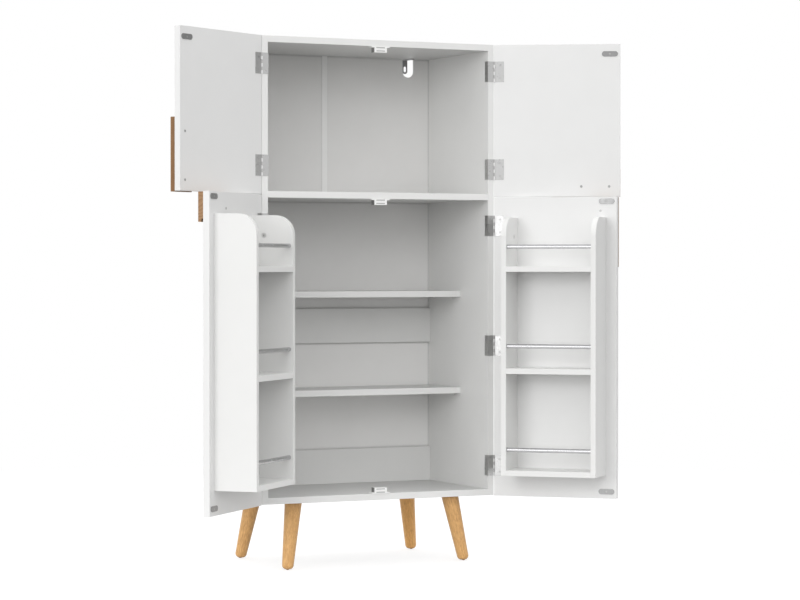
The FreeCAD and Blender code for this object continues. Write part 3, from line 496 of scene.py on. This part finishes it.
def bare_metal(name, light, dark, edge, roughness, stretch, line_depth, knuckle_highlight=None):
    """Plated or rolled steel with fine lines, edges of another shade, which on the hinge steel is a
    painted highlight, and a painted highlight on the knuckles if given.
    """
    made = Finish(name, Metallic=1.0)
    wiring = made.wiring
    brushing = wiring.group(METAL_BRUSHING, Vector=made.spot, Stretch=stretch)
    colour = wiring.blend(brushing["Lines"], dark, light)
    colour = made.wear_and_glint_edges(colour, width=0.5 * MM, break_scale=500.0, share=0.5, edge_colour=edge)
    # painted highlight on the knuckles
    if knuckle_highlight:
        mirrored = wiring.vector("ABSOLUTE", made.spot)
        flat = wiring.vector("MULTIPLY", mirrored, (1.0, 1.0, 0.0))
        away = wiring.measure("DISTANCE", flat, (HINGE_AXIS[0], HINGE_AXIS[1], 0.0))
        on_knuckle = wiring.span(away, KNUCKLE_REACH, KNUCKLE_RIM * KNUCKLE_REACH)
        colour = wiring.blend(on_knuckle, colour, knuckle_highlight)
    made.set("Base Color", colour)
    made.set("Roughness", made.wander(brushing["Patches"], roughness, below=0.06, above=0.08))
    made.bump(brushing["Height"], line_depth)
    return made.material


SPARK_DEPTH = 0.03 * MM


def moulded_plastic(name, light, dark, roughness, sides=None):
    """Moulded plastic with a faint spark-eroded surface, and painted shade on its left and right faces if
    given.
    """
    made = Finish(name, Specular_IOR_Level=0.45)
    wiring = made.wiring
    texture = wiring.group(BOARD_TEXTURE, Vector=made.spot, Peel_Scale=1400.0)
    colour = wiring.blend(texture["Tone"], dark, light)
    colour = made.wear_and_glint_edges(colour, width=0.6 * MM, break_scale=300.0, share=0.25, edge_colour=WHITE)
    if sides:
        # painted shade on the faces that look left and right
        sideways = wiring.math("ABSOLUTE", wiring.looks_along("X"))
        colour = wiring.blend(wiring.span(sideways, *SQUARE_ON), colour, sides)
    made.set("Base Color", colour)
    made.set("Roughness", made.wander(texture["Gloss"], roughness, below=0.05, above=0.07))
    made.bump(texture["Height"], SPARK_DEPTH)
    return made.material


# Finishes of this cupboard

FINE_LINES = 0.02 * MM
FAINT_LINES = 0.01 * MM
POLISH_LINES = 0.004 * MM
ALL_WAYS = (2000.0, 2000.0, 2000.0)
UPRIGHT_LINES = (300.0, 300.0, 9000.0)
# the painted shade on the side faces of the catches
CATCH_SIDE_SHADE = rgb(0.20, 0.20, 0.195)
# painted highlight on the knuckles of the door leaves
KNUCKLE_HIGHLIGHT = rgb(0.80, 0.80, 0.795)
HINGE_STEEL = {
    "light": rgb(0.56, 0.56, 0.555),
    "dark": rgb(0.45, 0.45, 0.45),
    # the pale edge is a painted highlight along the bends and edges of the leaves
    "edge": rgb(0.85, 0.85, 0.845),
    "roughness": 0.33,
    "stretch": UPRIGHT_LINES,
    "line_depth": FINE_LINES,
}
DOWEL_TONES = (rgb(0.68, 0.47, 0.27), rgb(0.52, 0.33, 0.17), rgb(0.3, 0.17, 0.08))
FINISHES = {
    # the case board carries painted shade in its inner corners
    "case_board": faced_board(
        "white_case_board", rgb(0.80, 0.80, 0.79), rgb(0.775, 0.775, 0.765),
        roughness=0.42, peel_scale=700.0, corner_dust=0.42, raw_rear=True),
    "door_board": faced_board(
        "white_door_board", rgb(0.81, 0.81, 0.805), rgb(0.785, 0.785, 0.78),
        roughness=0.38, peel_scale=700.0),
    "rack_board": faced_board(
        "white_rack_board", rgb(0.81, 0.81, 0.80), rgb(0.785, 0.785, 0.775),
        roughness=0.40, peel_scale=850.0),
    "back_sheet": back_board("painted_hardboard", rgb(0.785, 0.78, 0.77), rgb(0.82, 0.815, 0.805)),
    # the same hardboard painted lighter, as painted light for the lower compartment
    "lower_sheet_painted_light": back_board("hardboard_painted_lighter", rgb(0.865, 0.86, 0.85), rgb(0.895, 0.89, 0.88)),
    "joint_strip": moulded_plastic(
        "white_strip_plastic", rgb(0.90, 0.90, 0.89), rgb(0.87, 0.87, 0.86), roughness=0.38),
    "hinge_steel": bare_metal("nickel_hinge_steel", **HINGE_STEEL),
    "door_leaf_steel": bare_metal("door_leaf_steel", **HINGE_STEEL, knuckle_highlight=KNUCKLE_HIGHLIGHT),
    "screw_steel": bare_metal(
        "zinc_screw_steel", rgb(0.52, 0.52, 0.515), rgb(0.42, 0.42, 0.42), rgb(0.46, 0.46, 0.455),
        roughness=0.36, stretch=ALL_WAYS, line_depth=FAINT_LINES),
    "cam_zinc": bare_metal(
        "bright_cam_zinc", rgb(0.78, 0.78, 0.77), rgb(0.64, 0.64, 0.635), rgb(0.80, 0.80, 0.79),
        roughness=0.36, stretch=ALL_WAYS, line_depth=FAINT_LINES),
    "strike_steel": bare_metal(
        "dull_strike_steel", rgb(0.35, 0.35, 0.35), rgb(0.29, 0.29, 0.29), rgb(0.13, 0.13, 0.13),
        roughness=0.36, stretch=(300.0, 300.0, 6000.0), line_depth=FINE_LINES),
    "bracket_steel": bare_metal(
        "grey_bracket_steel", rgb(0.40, 0.40, 0.41), rgb(0.27, 0.27, 0.28), rgb(0.55, 0.55, 0.55),
        roughness=0.40, stretch=(5000.0, 300.0, 300.0), line_depth=FINE_LINES),
    "chrome": bare_metal(
        "bright_chrome", rgb(0.58, 0.58, 0.59), rgb(0.50, 0.50, 0.51), rgb(0.60, 0.60, 0.60),
        roughness=0.20, stretch=(4000.0, 4000.0, 4000.0), line_depth=POLISH_LINES),
    "pole_steel": bare_metal(
        "pole_steel", rgb(0.54, 0.54, 0.535), rgb(0.42, 0.42, 0.415), rgb(0.60, 0.60, 0.60),
        roughness=0.36, stretch=UPRIGHT_LINES, line_depth=FINE_LINES),
    "catch_plastic": moulded_plastic(
        "white_catch_plastic", rgb(0.90, 0.90, 0.89), rgb(0.86, 0.86, 0.85), roughness=0.36,
        sides=CATCH_SIDE_SHADE),
    "cover_plastic": moulded_plastic(
        "white_cover_plastic", rgb(0.80, 0.80, 0.79), rgb(0.76, 0.76, 0.75), roughness=0.45),
    "glide_plastic": moulded_plastic(
        "brown_glide_plastic", rgb(0.34, 0.22, 0.12), rgb(0.27, 0.17, 0.09), roughness=0.50),
    "dowel_wood": solid_wood(
        "beech_dowel", ACROSS, DOWEL_TONES, ring_scale=300.0, heart=0.05, roughness=0.6, coat=0.0),
}
GRIP_WOOD = {"ring_scale": 190.0, "heart": 0.03, "roughness": 0.5, "coat": 0.05}
GRIP_TONES = (rgb(0.42, 0.225, 0.10), rgb(0.23, 0.11, 0.044), rgb(0.09, 0.042, 0.018))
# painted light and shade: each grip's tones are scaled darker or lighter for how light falls on it
GRIP_PAINTED_LIGHT = {
    "upper_left_grip": (0.80, 0.80, 0.75),
    "upper_right_grip": (0.90, 0.92, 0.95),
    "lower_left_grip": (1.05, 1.15, 1.25),
    "lower_right_grip": (0.95, 0.98, 1.0),
}
LEG_WOOD = {"ring_scale": 260.0, "heart": 0.02, "roughness": 0.42, "coat": 0.08, "flecks": 0.46,
            "specular": 0.3}
LEG_TONES = (rgb(0.82, 0.495, 0.205), rgb(0.46, 0.235, 0.08), rgb(0.24, 0.11, 0.04))
# painted light: the leg at the back right, which stands in shade, is made lighter and warmer
LEG_PAINTED_LIGHT = {
    "leg_front_left": (1.0, 1.0, 1.0),
    "leg_front_right": (1.0, 1.0, 1.0),
    "leg_back_left": (1.0, 1.0, 1.0),
    "leg_back_right": (1.18, 1.12, 0.98),
}
# which way each leg leans out, to the right and to the rear
LEG_SIDES = {
    "leg_front_left": (-1, -1),
    "leg_front_right": (1, -1),
    "leg_back_left": (-1, 1),
    "leg_back_right": (1, 1),
}
# how far a leg leans out to the side and to the front or rear, and how high it is
LEG_SPLAY = (0.0254, 0.0238, 0.154)
UP = Vector((0.0, 0.0, 1.0))
# their grain runs upright, and that of the other grips runs across the door
UPRIGHT_GRIPS = ("upper_left_grip", "lower_right_grip")
# these back sheets take the copy painted lighter, as painted light
SHEETS_PAINTED_LIGHTER = ("middle_back", "lower_back")


def shaded(tones, shares):
    """Tones with each of their three channels scaled."""
    return [rgb(*(channel * share for channel, share in zip(tone, shares))) for tone in tones]


def door_place(door):
    """The axes of a door: its hinge axis, turned as far as the door stands open."""
    joint = next(joint for joint in frame["joints"] if joint["child"] == door)
    turn = Vector(joint["axis"]).z * math.radians(-joint["range_deg"][0])
    x, y, _ = joint["pos_m"]
    return Matrix.Translation((x, y, 0.0)) @ Matrix.Rotation(turn, 4, "Z")


def finish_of(name, piece):
    """The finish of a CAD node, made anew for each piece of solid wood."""
    # legs take tones scaled as painted light
    if name in LEG_SIDES:
        side, end = LEG_SIDES[name]
        axis = (side * LEG_SPLAY[0], end * LEG_SPLAY[1], -LEG_SPLAY[2])
        return solid_wood(name + "_wood", axis, shaded(LEG_TONES, LEG_PAINTED_LIGHT[name]), **LEG_WOOD)
    # grips take tones scaled as painted light and shade
    if name in GRIP_PAINTED_LIGHT:
        door = name.replace("_grip", "_door")
        axis = UP if name in UPRIGHT_GRIPS else door_place(door).to_3x3() @ ACROSS
        return solid_wood(name + "_wood", axis, shaded(GRIP_TONES, GRIP_PAINTED_LIGHT[name]), **GRIP_WOOD)
    # painted light: the lower sheets take the lighter copy
    if name in SHEETS_PAINTED_LIGHTER:
        return FINISHES["lower_sheet_painted_light"]
    slot = piece.data.materials[0].name.split(".")[0]
    return FINISHES[slot]


for name, piece in nodes.items():
    material = finish_of(name, piece)
    piece.data.materials.clear()
    piece.data.materials.append(material)


# Measuring CAD nodes

IDENTITY = Matrix.Identity(4)
MERGE = 1e-6
SORT_DIGITS = 5


def welded(node):
    """A CAD node's mesh with its split corners joined."""
    shape = bmesh.new()
    shape.from_mesh(nodes[node].data)
    bmesh.ops.remove_doubles(shape, verts=shape.verts, dist=MERGE)
    return shape


def sort_key(points):
    """The rounded middle of some points, by which solids come in the same order each time."""
    middle = sum(points, Vector()) / len(points)
    return tuple(round(value, SORT_DIGITS) for value in middle)


def solids(node, place=IDENTITY):
    """The separate solids of a CAD node, each as its points in the axes of the given place."""
    shape = welded(node)
    inwards = place.inverted()
    found = []
    waiting = set(shape.verts)
    for first in shape.verts:
        if first not in waiting:
            continue
        waiting.remove(first)
        island = [first]
        for vertex in island:
            for edge in vertex.link_edges:
                other = edge.other_vert(vertex)
                if other in waiting:
                    waiting.remove(other)
                    island.append(other)
        found.append([inwards @ vertex.co for vertex in island])
    shape.free()
    return sorted(found, key=sort_key)


def span_of(points):
    """The lowest and highest corners of some points."""
    low = Vector([min(point[axis] for point in points) for axis in range(3)])
    high = Vector([max(point[axis] for point in points) for axis in range(3)])
    return low, high


class Bar:
    """A round solid measured from its points: its axis, its ends and its radii."""

    def __init__(self, points):
        low, high = span_of(points)
        size = high - low
        self.axis = max(range(3), key=lambda axis: size[axis])
        self.length = size[self.axis]
        self.middle = (low + high) / 2
        self.radius = max(self.reach(point) for point in points)
        wide = [point[self.axis] for point in points if self.reach(point) > self.radius - 2 * MERGE]
        self.head_depth = max(wide) - min(wide)
        at_low = abs(min(wide) - low[self.axis]) < abs(max(wide) - high[self.axis])
        head_end = low[self.axis] if at_low else high[self.axis]
        self.head = self.middle.copy()
        self.head[self.axis] = head_end
        self.inwards = Vector((0.0, 0.0, 0.0))
        self.inwards[self.axis] = 1.0 if at_low else -1.0
        far_end = [point for point in points if abs(point[self.axis] - head_end) > self.length - 2 * MERGE]
        self.shank = max(self.reach(point) for point in far_end)

    def reach(self, point):
        """How far a point stands from the bar's axis."""
        offset = point - self.middle
        offset[self.axis] = 0.0
        return offset.length


# Shapes of the detail pieces

ROUND_STEPS = 28
SCREW_STEPS = 20
SMOOTH_ANGLE = math.radians(32.0)
FLAT_WEIGHT = 100
CROSS_TURN = math.radians(137.5)
CROSS_BASE = (0.55, 0.7)
HEAD_CHAMFER = 0.06


def looking_out(place, spot, inwards):
    """Axes with Z pointing out of the material at a spot, in the cupboard's frame."""
    turn = (-inwards).to_track_quat("Z", "X").to_matrix().to_4x4()
    return place @ Matrix.Translation(spot) @ turn


def ring(shape, radius, height, steps, axes):
    """New points in a circle round Z of the given axes."""
    points = []
    for step in range(steps):
        angle = 2 * math.pi * step / steps
        spot = Vector((radius * math.cos(angle), radius * math.sin(angle), height))
        points.append(shape.verts.new(axes @ spot))
    return points


def bridge(shape, lower, upper):
    """Faces between two rings with as many points each."""
    count = len(lower)
    for step in range(count):
        after = (step + 1) % count
        shape.faces.new((lower[step], lower[after], upper[after], upper[step]))


def turned(shape, profile, axes, steps=ROUND_STEPS):
    """A turned solid from (radius, height) pairs, upwards. It gives its top ring, which is left open."""
    rings = [ring(shape, radius, height, steps, axes) for radius, height in profile]
    for lower, upper in zip(rings, rings[1:]):
        bridge(shape, lower, upper)
    shape.faces.new(list(reversed(rings[0])))
    return rings[-1]


def cross_outline(reach, arm):
    """The twelve corners of a cross, going round."""
    outline = []
    for quarter in range(4):
        turn = -quarter * math.pi / 2
        cos = round(math.cos(turn))
        sin = round(math.sin(turn))
        for x, y in ((arm, reach), (arm, arm), (reach, arm)):
            outline.append((x * cos - y * sin, x * sin + y * cos))
    return list(reversed(outline))


def cross_recess(shape, rim, reach, arm, depth, turn, axes):
    """Closes a round end with a face that has a cross recess in it."""
    axes = axes @ Matrix.Rotation(turn, 4, "Z")
    mouth = [shape.verts.new(axes @ Vector((x, y, 0.0))) for x, y in cross_outline(reach, arm)]
    base_outline = cross_outline(reach * CROSS_BASE[0], arm * CROSS_BASE[1])
    base = [shape.verts.new(axes @ Vector((x, y, -depth))) for x, y in base_outline]
    edges = []
    for loop in (rim, mouth):
        for first, second in zip(loop, loop[1:] + loop[:1]):
            edges.append(shape.edges.get((first, second)) or shape.edges.new((first, second)))
    bmesh.ops.triangle_fill(shape, use_beauty=True, use_dissolve=False, edges=edges)
    bridge(shape, base, mouth)
    shape.faces.new(base)


# Screws, in shares of the shank's radius, apart from THREAD_END, which counts turns of the thread
THREAD_DEPTH = 0.12
THREAD_PITCH = 0.8
POINT_RADIUS = 0.12
POINT_SHOULDER = (0.8, 1.6)
THREAD_START = 1.9
THREAD_END = 2.2
NECK = 0.3


def screw(shape, bar, place, turn):
    """A countersunk screw with a cross recess and a threaded shank."""
    axes = looking_out(place, bar.head, bar.inwards)
    tip = -bar.length
    root = bar.shank - THREAD_DEPTH * bar.shank
    pitch = THREAD_PITCH * bar.shank
    shoulder_radius, shoulder_height = POINT_SHOULDER
    profile = [
        (POINT_RADIUS * bar.shank, tip),
        (shoulder_radius * bar.shank, tip + shoulder_height * bar.shank),
    ]
    height = tip + THREAD_START * bar.shank
    while height < -bar.head_depth - THREAD_END * pitch:
        profile += [(root, height), (bar.shank, height + pitch / 2)]
        height += pitch
    chamfer = HEAD_CHAMFER * bar.radius
    profile += [
        (root, height),
        (root, -bar.head_depth - NECK * bar.shank),
        (bar.radius - chamfer, -bar.head_depth),
        (bar.radius, -bar.head_depth + chamfer),
        (bar.radius, -chamfer),
        (bar.radius - chamfer, 0.0),
    ]
    rim = turned(shape, profile, axes, SCREW_STEPS)
    cross_recess(shape, rim, reach=0.56 * bar.radius, arm=0.12 * bar.radius,
                 depth=0.55 * bar.head_depth + 0.2 * bar.radius, turn=turn, axes=axes)


PIN_CHAMFER = 0.15


def rod(shape, points, place):
    """A plain round pin with chamfered ends."""
    bar = Bar(points)
    axes = looking_out(place, bar.head, bar.inwards)
    chamfer = PIN_CHAMFER * bar.radius
    profile = [
        (bar.radius - chamfer, -bar.length),
        (bar.radius, chamfer - bar.length),
        (bar.radius, -chamfer),
        (bar.radius - chamfer, 0.0),
    ]
    shape.faces.new(turned(shape, profile, axes))


def cam(shape, points, inner_x, place):
    """A cam disc with a cross recess in the end that looks towards the given x."""
    low, high = span_of(points)
    inwards = Vector((1.0 if inner_x < low.x else -1.0, 0.0, 0.0))
    head = (low + high) / 2
    head.x = low.x if inwards.x > 0 else high.x
    axes = looking_out(place, head, inwards)
    depth = high.x - low.x
    radius = (high.z - low.z) / 2
    chamfer = HEAD_CHAMFER * radius
    rim = turned(shape, [(radius, -depth), (radius, -chamfer), (radius - chamfer, 0.0)], axes)
    cross_recess(shape, rim, reach=0.48 * radius, arm=0.11 * radius, depth=0.3 * depth, turn=CROSS_TURN,
                 axes=axes)


# Pieces that take the place of CAD nodes

def finished(name, shape, body, material, node):
    """Makes a piece of a finished shape, riding on a body in place of a CAD node."""
    bmesh.ops.recalc_face_normals(shape, faces=shape.faces)
    mesh = bpy.data.meshes.new(name)
    shape.to_mesh(mesh)
    shape.free()
    mesh.polygons.foreach_set("use_smooth", [True] * len(mesh.polygons))
    mesh.set_sharp_from_angle(angle=SMOOTH_ANGLE)
    mesh.materials.append(material)
    piece = bpy.data.objects.new(name, mesh)
    bpy.context.scene.collection.objects.link(piece)
    flat = piece.modifiers.new("flat_faces", "WEIGHTED_NORMAL")
    flat.weight = FLAT_WEIGHT
    flat.keep_sharp = True
    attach(piece, body)
    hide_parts(node)


def screw_piece(node, body, place):
    """All the screws of a CAD node, each turned to its own angle."""
    shape = bmesh.new()
    for index, points in enumerate(solids(node, place)):
        screw(shape, Bar(points), place, index * CROSS_TURN)
    finished(node + "_crosshead", shape, body, FINISHES["screw_steel"], node)


CAM_WIDTH = 10.0 * MM


def fixing_piece(node, door, place):
    """The cams, bolts and dowels that hold a rack to its door."""
    parts = solids(node, place)
    spans = [span_of(points) for points in parts]
    inner_x = sum((low.x + high.x) / 2 for low, high in spans) / len(spans)
    shape = bmesh.new()
    for points, (low, high) in zip(parts, spans):
        if high.z - low.z > CAM_WIDTH:
            cam(shape, points, inner_x, place)
        else:
            rod(shape, points, place)
    finished(node + "_turned", shape, door, FINISHES["cam_zinc"], node)


FLAT_ANGLE = math.radians(0.3)
SHARP_ANGLE = math.radians(35.0)


def eased_piece(node, body, width, material, steps=2):
    """A CAD node's shape with its sharp edges rounded over."""
    shape = welded(node)
    bmesh.ops.dissolve_limit(shape, angle_limit=FLAT_ANGLE, verts=shape.verts, edges=shape.edges)
    sharp = [edge for edge in shape.edges if edge.is_manifold and edge.calc_face_angle() > SHARP_ANGLE]
    bmesh.ops.bevel(shape, geom=sharp, offset=width, offset_type="OFFSET", segments=steps, profile=0.5,
                    affect="EDGES", clamp_overlap=True)
    finished(node + "_eased", shape, body, material, node)


DOORS = ("upper_left_door", "upper_right_door", "lower_left_door", "lower_right_door")
# Case pieces with rounded-over edges: slot, finish, how wide the rounding is, and in how many steps
EASED_ON_CASE = {
    "hinge_case_leaves": ("hinge_steel", "hinge_steel", 0.15 * MM, 2),
    "wall_bracket": ("bracket_steel", "bracket_steel", 0.3 * MM, 2),
    "catch_bodies": ("catch_plastic", "catch_plastic", 0.4 * MM, 2),
    "back_joint_strip": ("joint_strip", "joint_strip", 0.15 * MM, 2),
    "screw_cover_discs": ("cover_plastic", "cover_plastic", 0.45 * MM, 3),
    "shelf_pins": ("screw_steel", "cam_zinc", 0.5 * MM, 2),
    "hinge_pins": ("hinge_steel", "hinge_steel", 0.5 * MM, 3),
    "leg_glides": ("glide_plastic", "glide_plastic", 0.6 * MM, 3),
    "leg_plates": ("screw_steel", "screw_steel", 0.4 * MM, 2),
    "catch_magnets": ("pole_steel", "pole_steel", 0.2 * MM, 2),
    "back_rail_upper": ("case_board", "case_board", 2.5 * MM, 4),
    "back_rail_lower": ("case_board", "case_board", 1.5 * MM, 4),
}
screw_piece("case_small_screws", "case", IDENTITY)
for door in DOORS:
    stem = door.replace("_door", "")
    place = door_place(door)
    grip_wood = nodes[stem + "_grip"].data.materials[0]
    screw_piece(stem + "_screws", door, place)
    eased_piece(stem + "_hinge_leaves", door, 0.15 * MM, FINISHES["door_leaf_steel"])
    eased_piece(stem + "_strike_plates", door, 0.35 * MM, FINISHES["strike_steel"])
    eased_piece(stem + "_grip", door, 0.5 * MM, grip_wood)
    if stem.startswith("lower"):
        eased_piece(stem + "_rack_sides", door, 0.6 * MM, FINISHES["rack_board"])
        fixing_piece(stem + "_rack_fixings", door, place)
for node, (slot, finish, width, steps) in EASED_ON_CASE.items():
    eased_piece(node, "case", width, FINISHES[finish], steps)


# Stage: floor, sky, lamps, card and camera

def seen_plainly(wiring):
    """One for what the camera sees straight, mirrored or through glass, and zero for what only lights."""
    rays = wiring.add("ShaderNodeLightPath").outputs
    shown = wiring.math("MAXIMUM", rays["Is Camera Ray"], rays["Is Glossy Ray"])
    return wiring.math("MAXIMUM", shown, rays["Is Transmission Ray"])


def stage_sheet(name, corners, material):
    """A flat sheet with four corners that belongs to the stage."""
    mesh = bpy.data.meshes.new(name)
    mesh.from_pydata(corners, [], [(0, 1, 2, 3)])
    mesh.materials.append(material)
    sheet = bpy.data.objects.new(name, mesh)
    bpy.context.scene.collection.objects.link(sheet)
    return sheet


floor_paint = bpy.data.materials.new("pale_floor")
wiring = emptied(floor_paint)
distance = wiring.measure("LENGTH", wiring.add("ShaderNodeTexCoord").outputs["Object"])
paint = wiring.add("ShaderNodeBsdfDiffuse", {"Color": FLOOR_PAINT}).outputs[0]
glow = wiring.add("ShaderNodeEmission", {"Color": WHITE, "Strength": FLOOR_GLOW}).outputs[0]
near_floor = wiring.add("ShaderNodeAddShader", {0: paint, 1: glow}).outputs[0]
far_floor = wiring.add("ShaderNodeEmission", {"Color": WHITE, "Strength": 1.0}).outputs[0]
away = wiring.span(distance, *FLOOR_FADE)
seen_floor = wiring.add("ShaderNodeMixShader", {0: away, 1: near_floor, 2: far_floor}).outputs[0]
bounce = wiring.blend(wiring.span(distance, *BOUNCE_FADE), BOUNCE_NEAR, BOUNCE_FAR)
lit_floor = wiring.add("ShaderNodeBsdfDiffuse", {"Color": bounce}).outputs[0]
shown = seen_plainly(wiring)
floor_shader = wiring.add("ShaderNodeMixShader", {0: shown, 1: lit_floor, 2: seen_floor}).outputs[0]
wiring.add("ShaderNodeOutputMaterial", {"Surface": floor_shader})
half = FLOOR_SIZE / 2
floor_corners = [(-half, -half, 0), (half, -half, 0), (half, half, 0), (-half, half, 0)]
stage_sheet("floor", floor_corners, floor_paint)

world = bpy.data.worlds.new("studio")
wiring = emptied(world)
strength = wiring.span(seen_plainly(wiring), 0.0, 1.0, SKY_LIGHT, SKY_SEEN)
sky = wiring.add("ShaderNodeBackground", {"Color": WHITE, "Strength": strength}).outputs[0]
wiring.add("ShaderNodeOutputWorld", {"Surface": sky})
bpy.context.scene.world = world

for name, (place, size, power, mirrored) in LAMPS.items():
    lamp = bpy.data.lights.new(name, "AREA")
    lamp.shape = "RECTANGLE"
    lamp.size, lamp.size_y = size
    lamp.energy = power
    holder = bpy.data.objects.new(name, lamp)
    holder.location = place
    holder.rotation_euler = (Vector(LAMP_TARGET) - Vector(place)).to_track_quat("-Z", "Y").to_euler()
    holder.visible_camera = False
    holder.visible_glossy = mirrored
    bpy.context.scene.collection.objects.link(holder)

card_paint = bpy.data.materials.new("grey_card")
wiring = emptied(card_paint)
weave = wiring.noise(wiring.add("ShaderNodeTexCoord").outputs["Object"], scale=CARD_WEAVE)
card_strength = wiring.span(weave, *NOISE_REACH, *CARD_GLOW)
card_glow = wiring.add("ShaderNodeEmission", {"Strength": card_strength}).outputs[0]
wiring.add("ShaderNodeOutputMaterial", {"Surface": card_glow})
half_y = CARD_SIZE[0] / 2
half_z = CARD_SIZE[1] / 2
card_corners = [(0, -half_y, -half_z), (0, half_y, -half_z), (0, half_y, half_z), (0, -half_y, half_z)]
card = stage_sheet("grey_card", card_corners, card_paint)
card.location = CARD_PLACE
card.visible_camera = False
card.visible_diffuse = False
card.visible_shadow = False
card.visible_transmission = False

camera = bpy.data.cameras.new("photo_camera")
camera.lens = CAMERA_LENS
camera.sensor_width = SENSOR
camera_holder = bpy.data.objects.new("photo_camera", camera)
camera_holder.location = CAMERA_PLACE
camera_holder.rotation_euler = (math.radians(90.0 + CAMERA_PITCH), 0.0, math.radians(-CAMERA_YAW))
bpy.context.scene.collection.objects.link(camera_holder)
bpy.context.scene.camera = camera_holder
bpy.context.scene.view_settings.view_transform = "Standard"
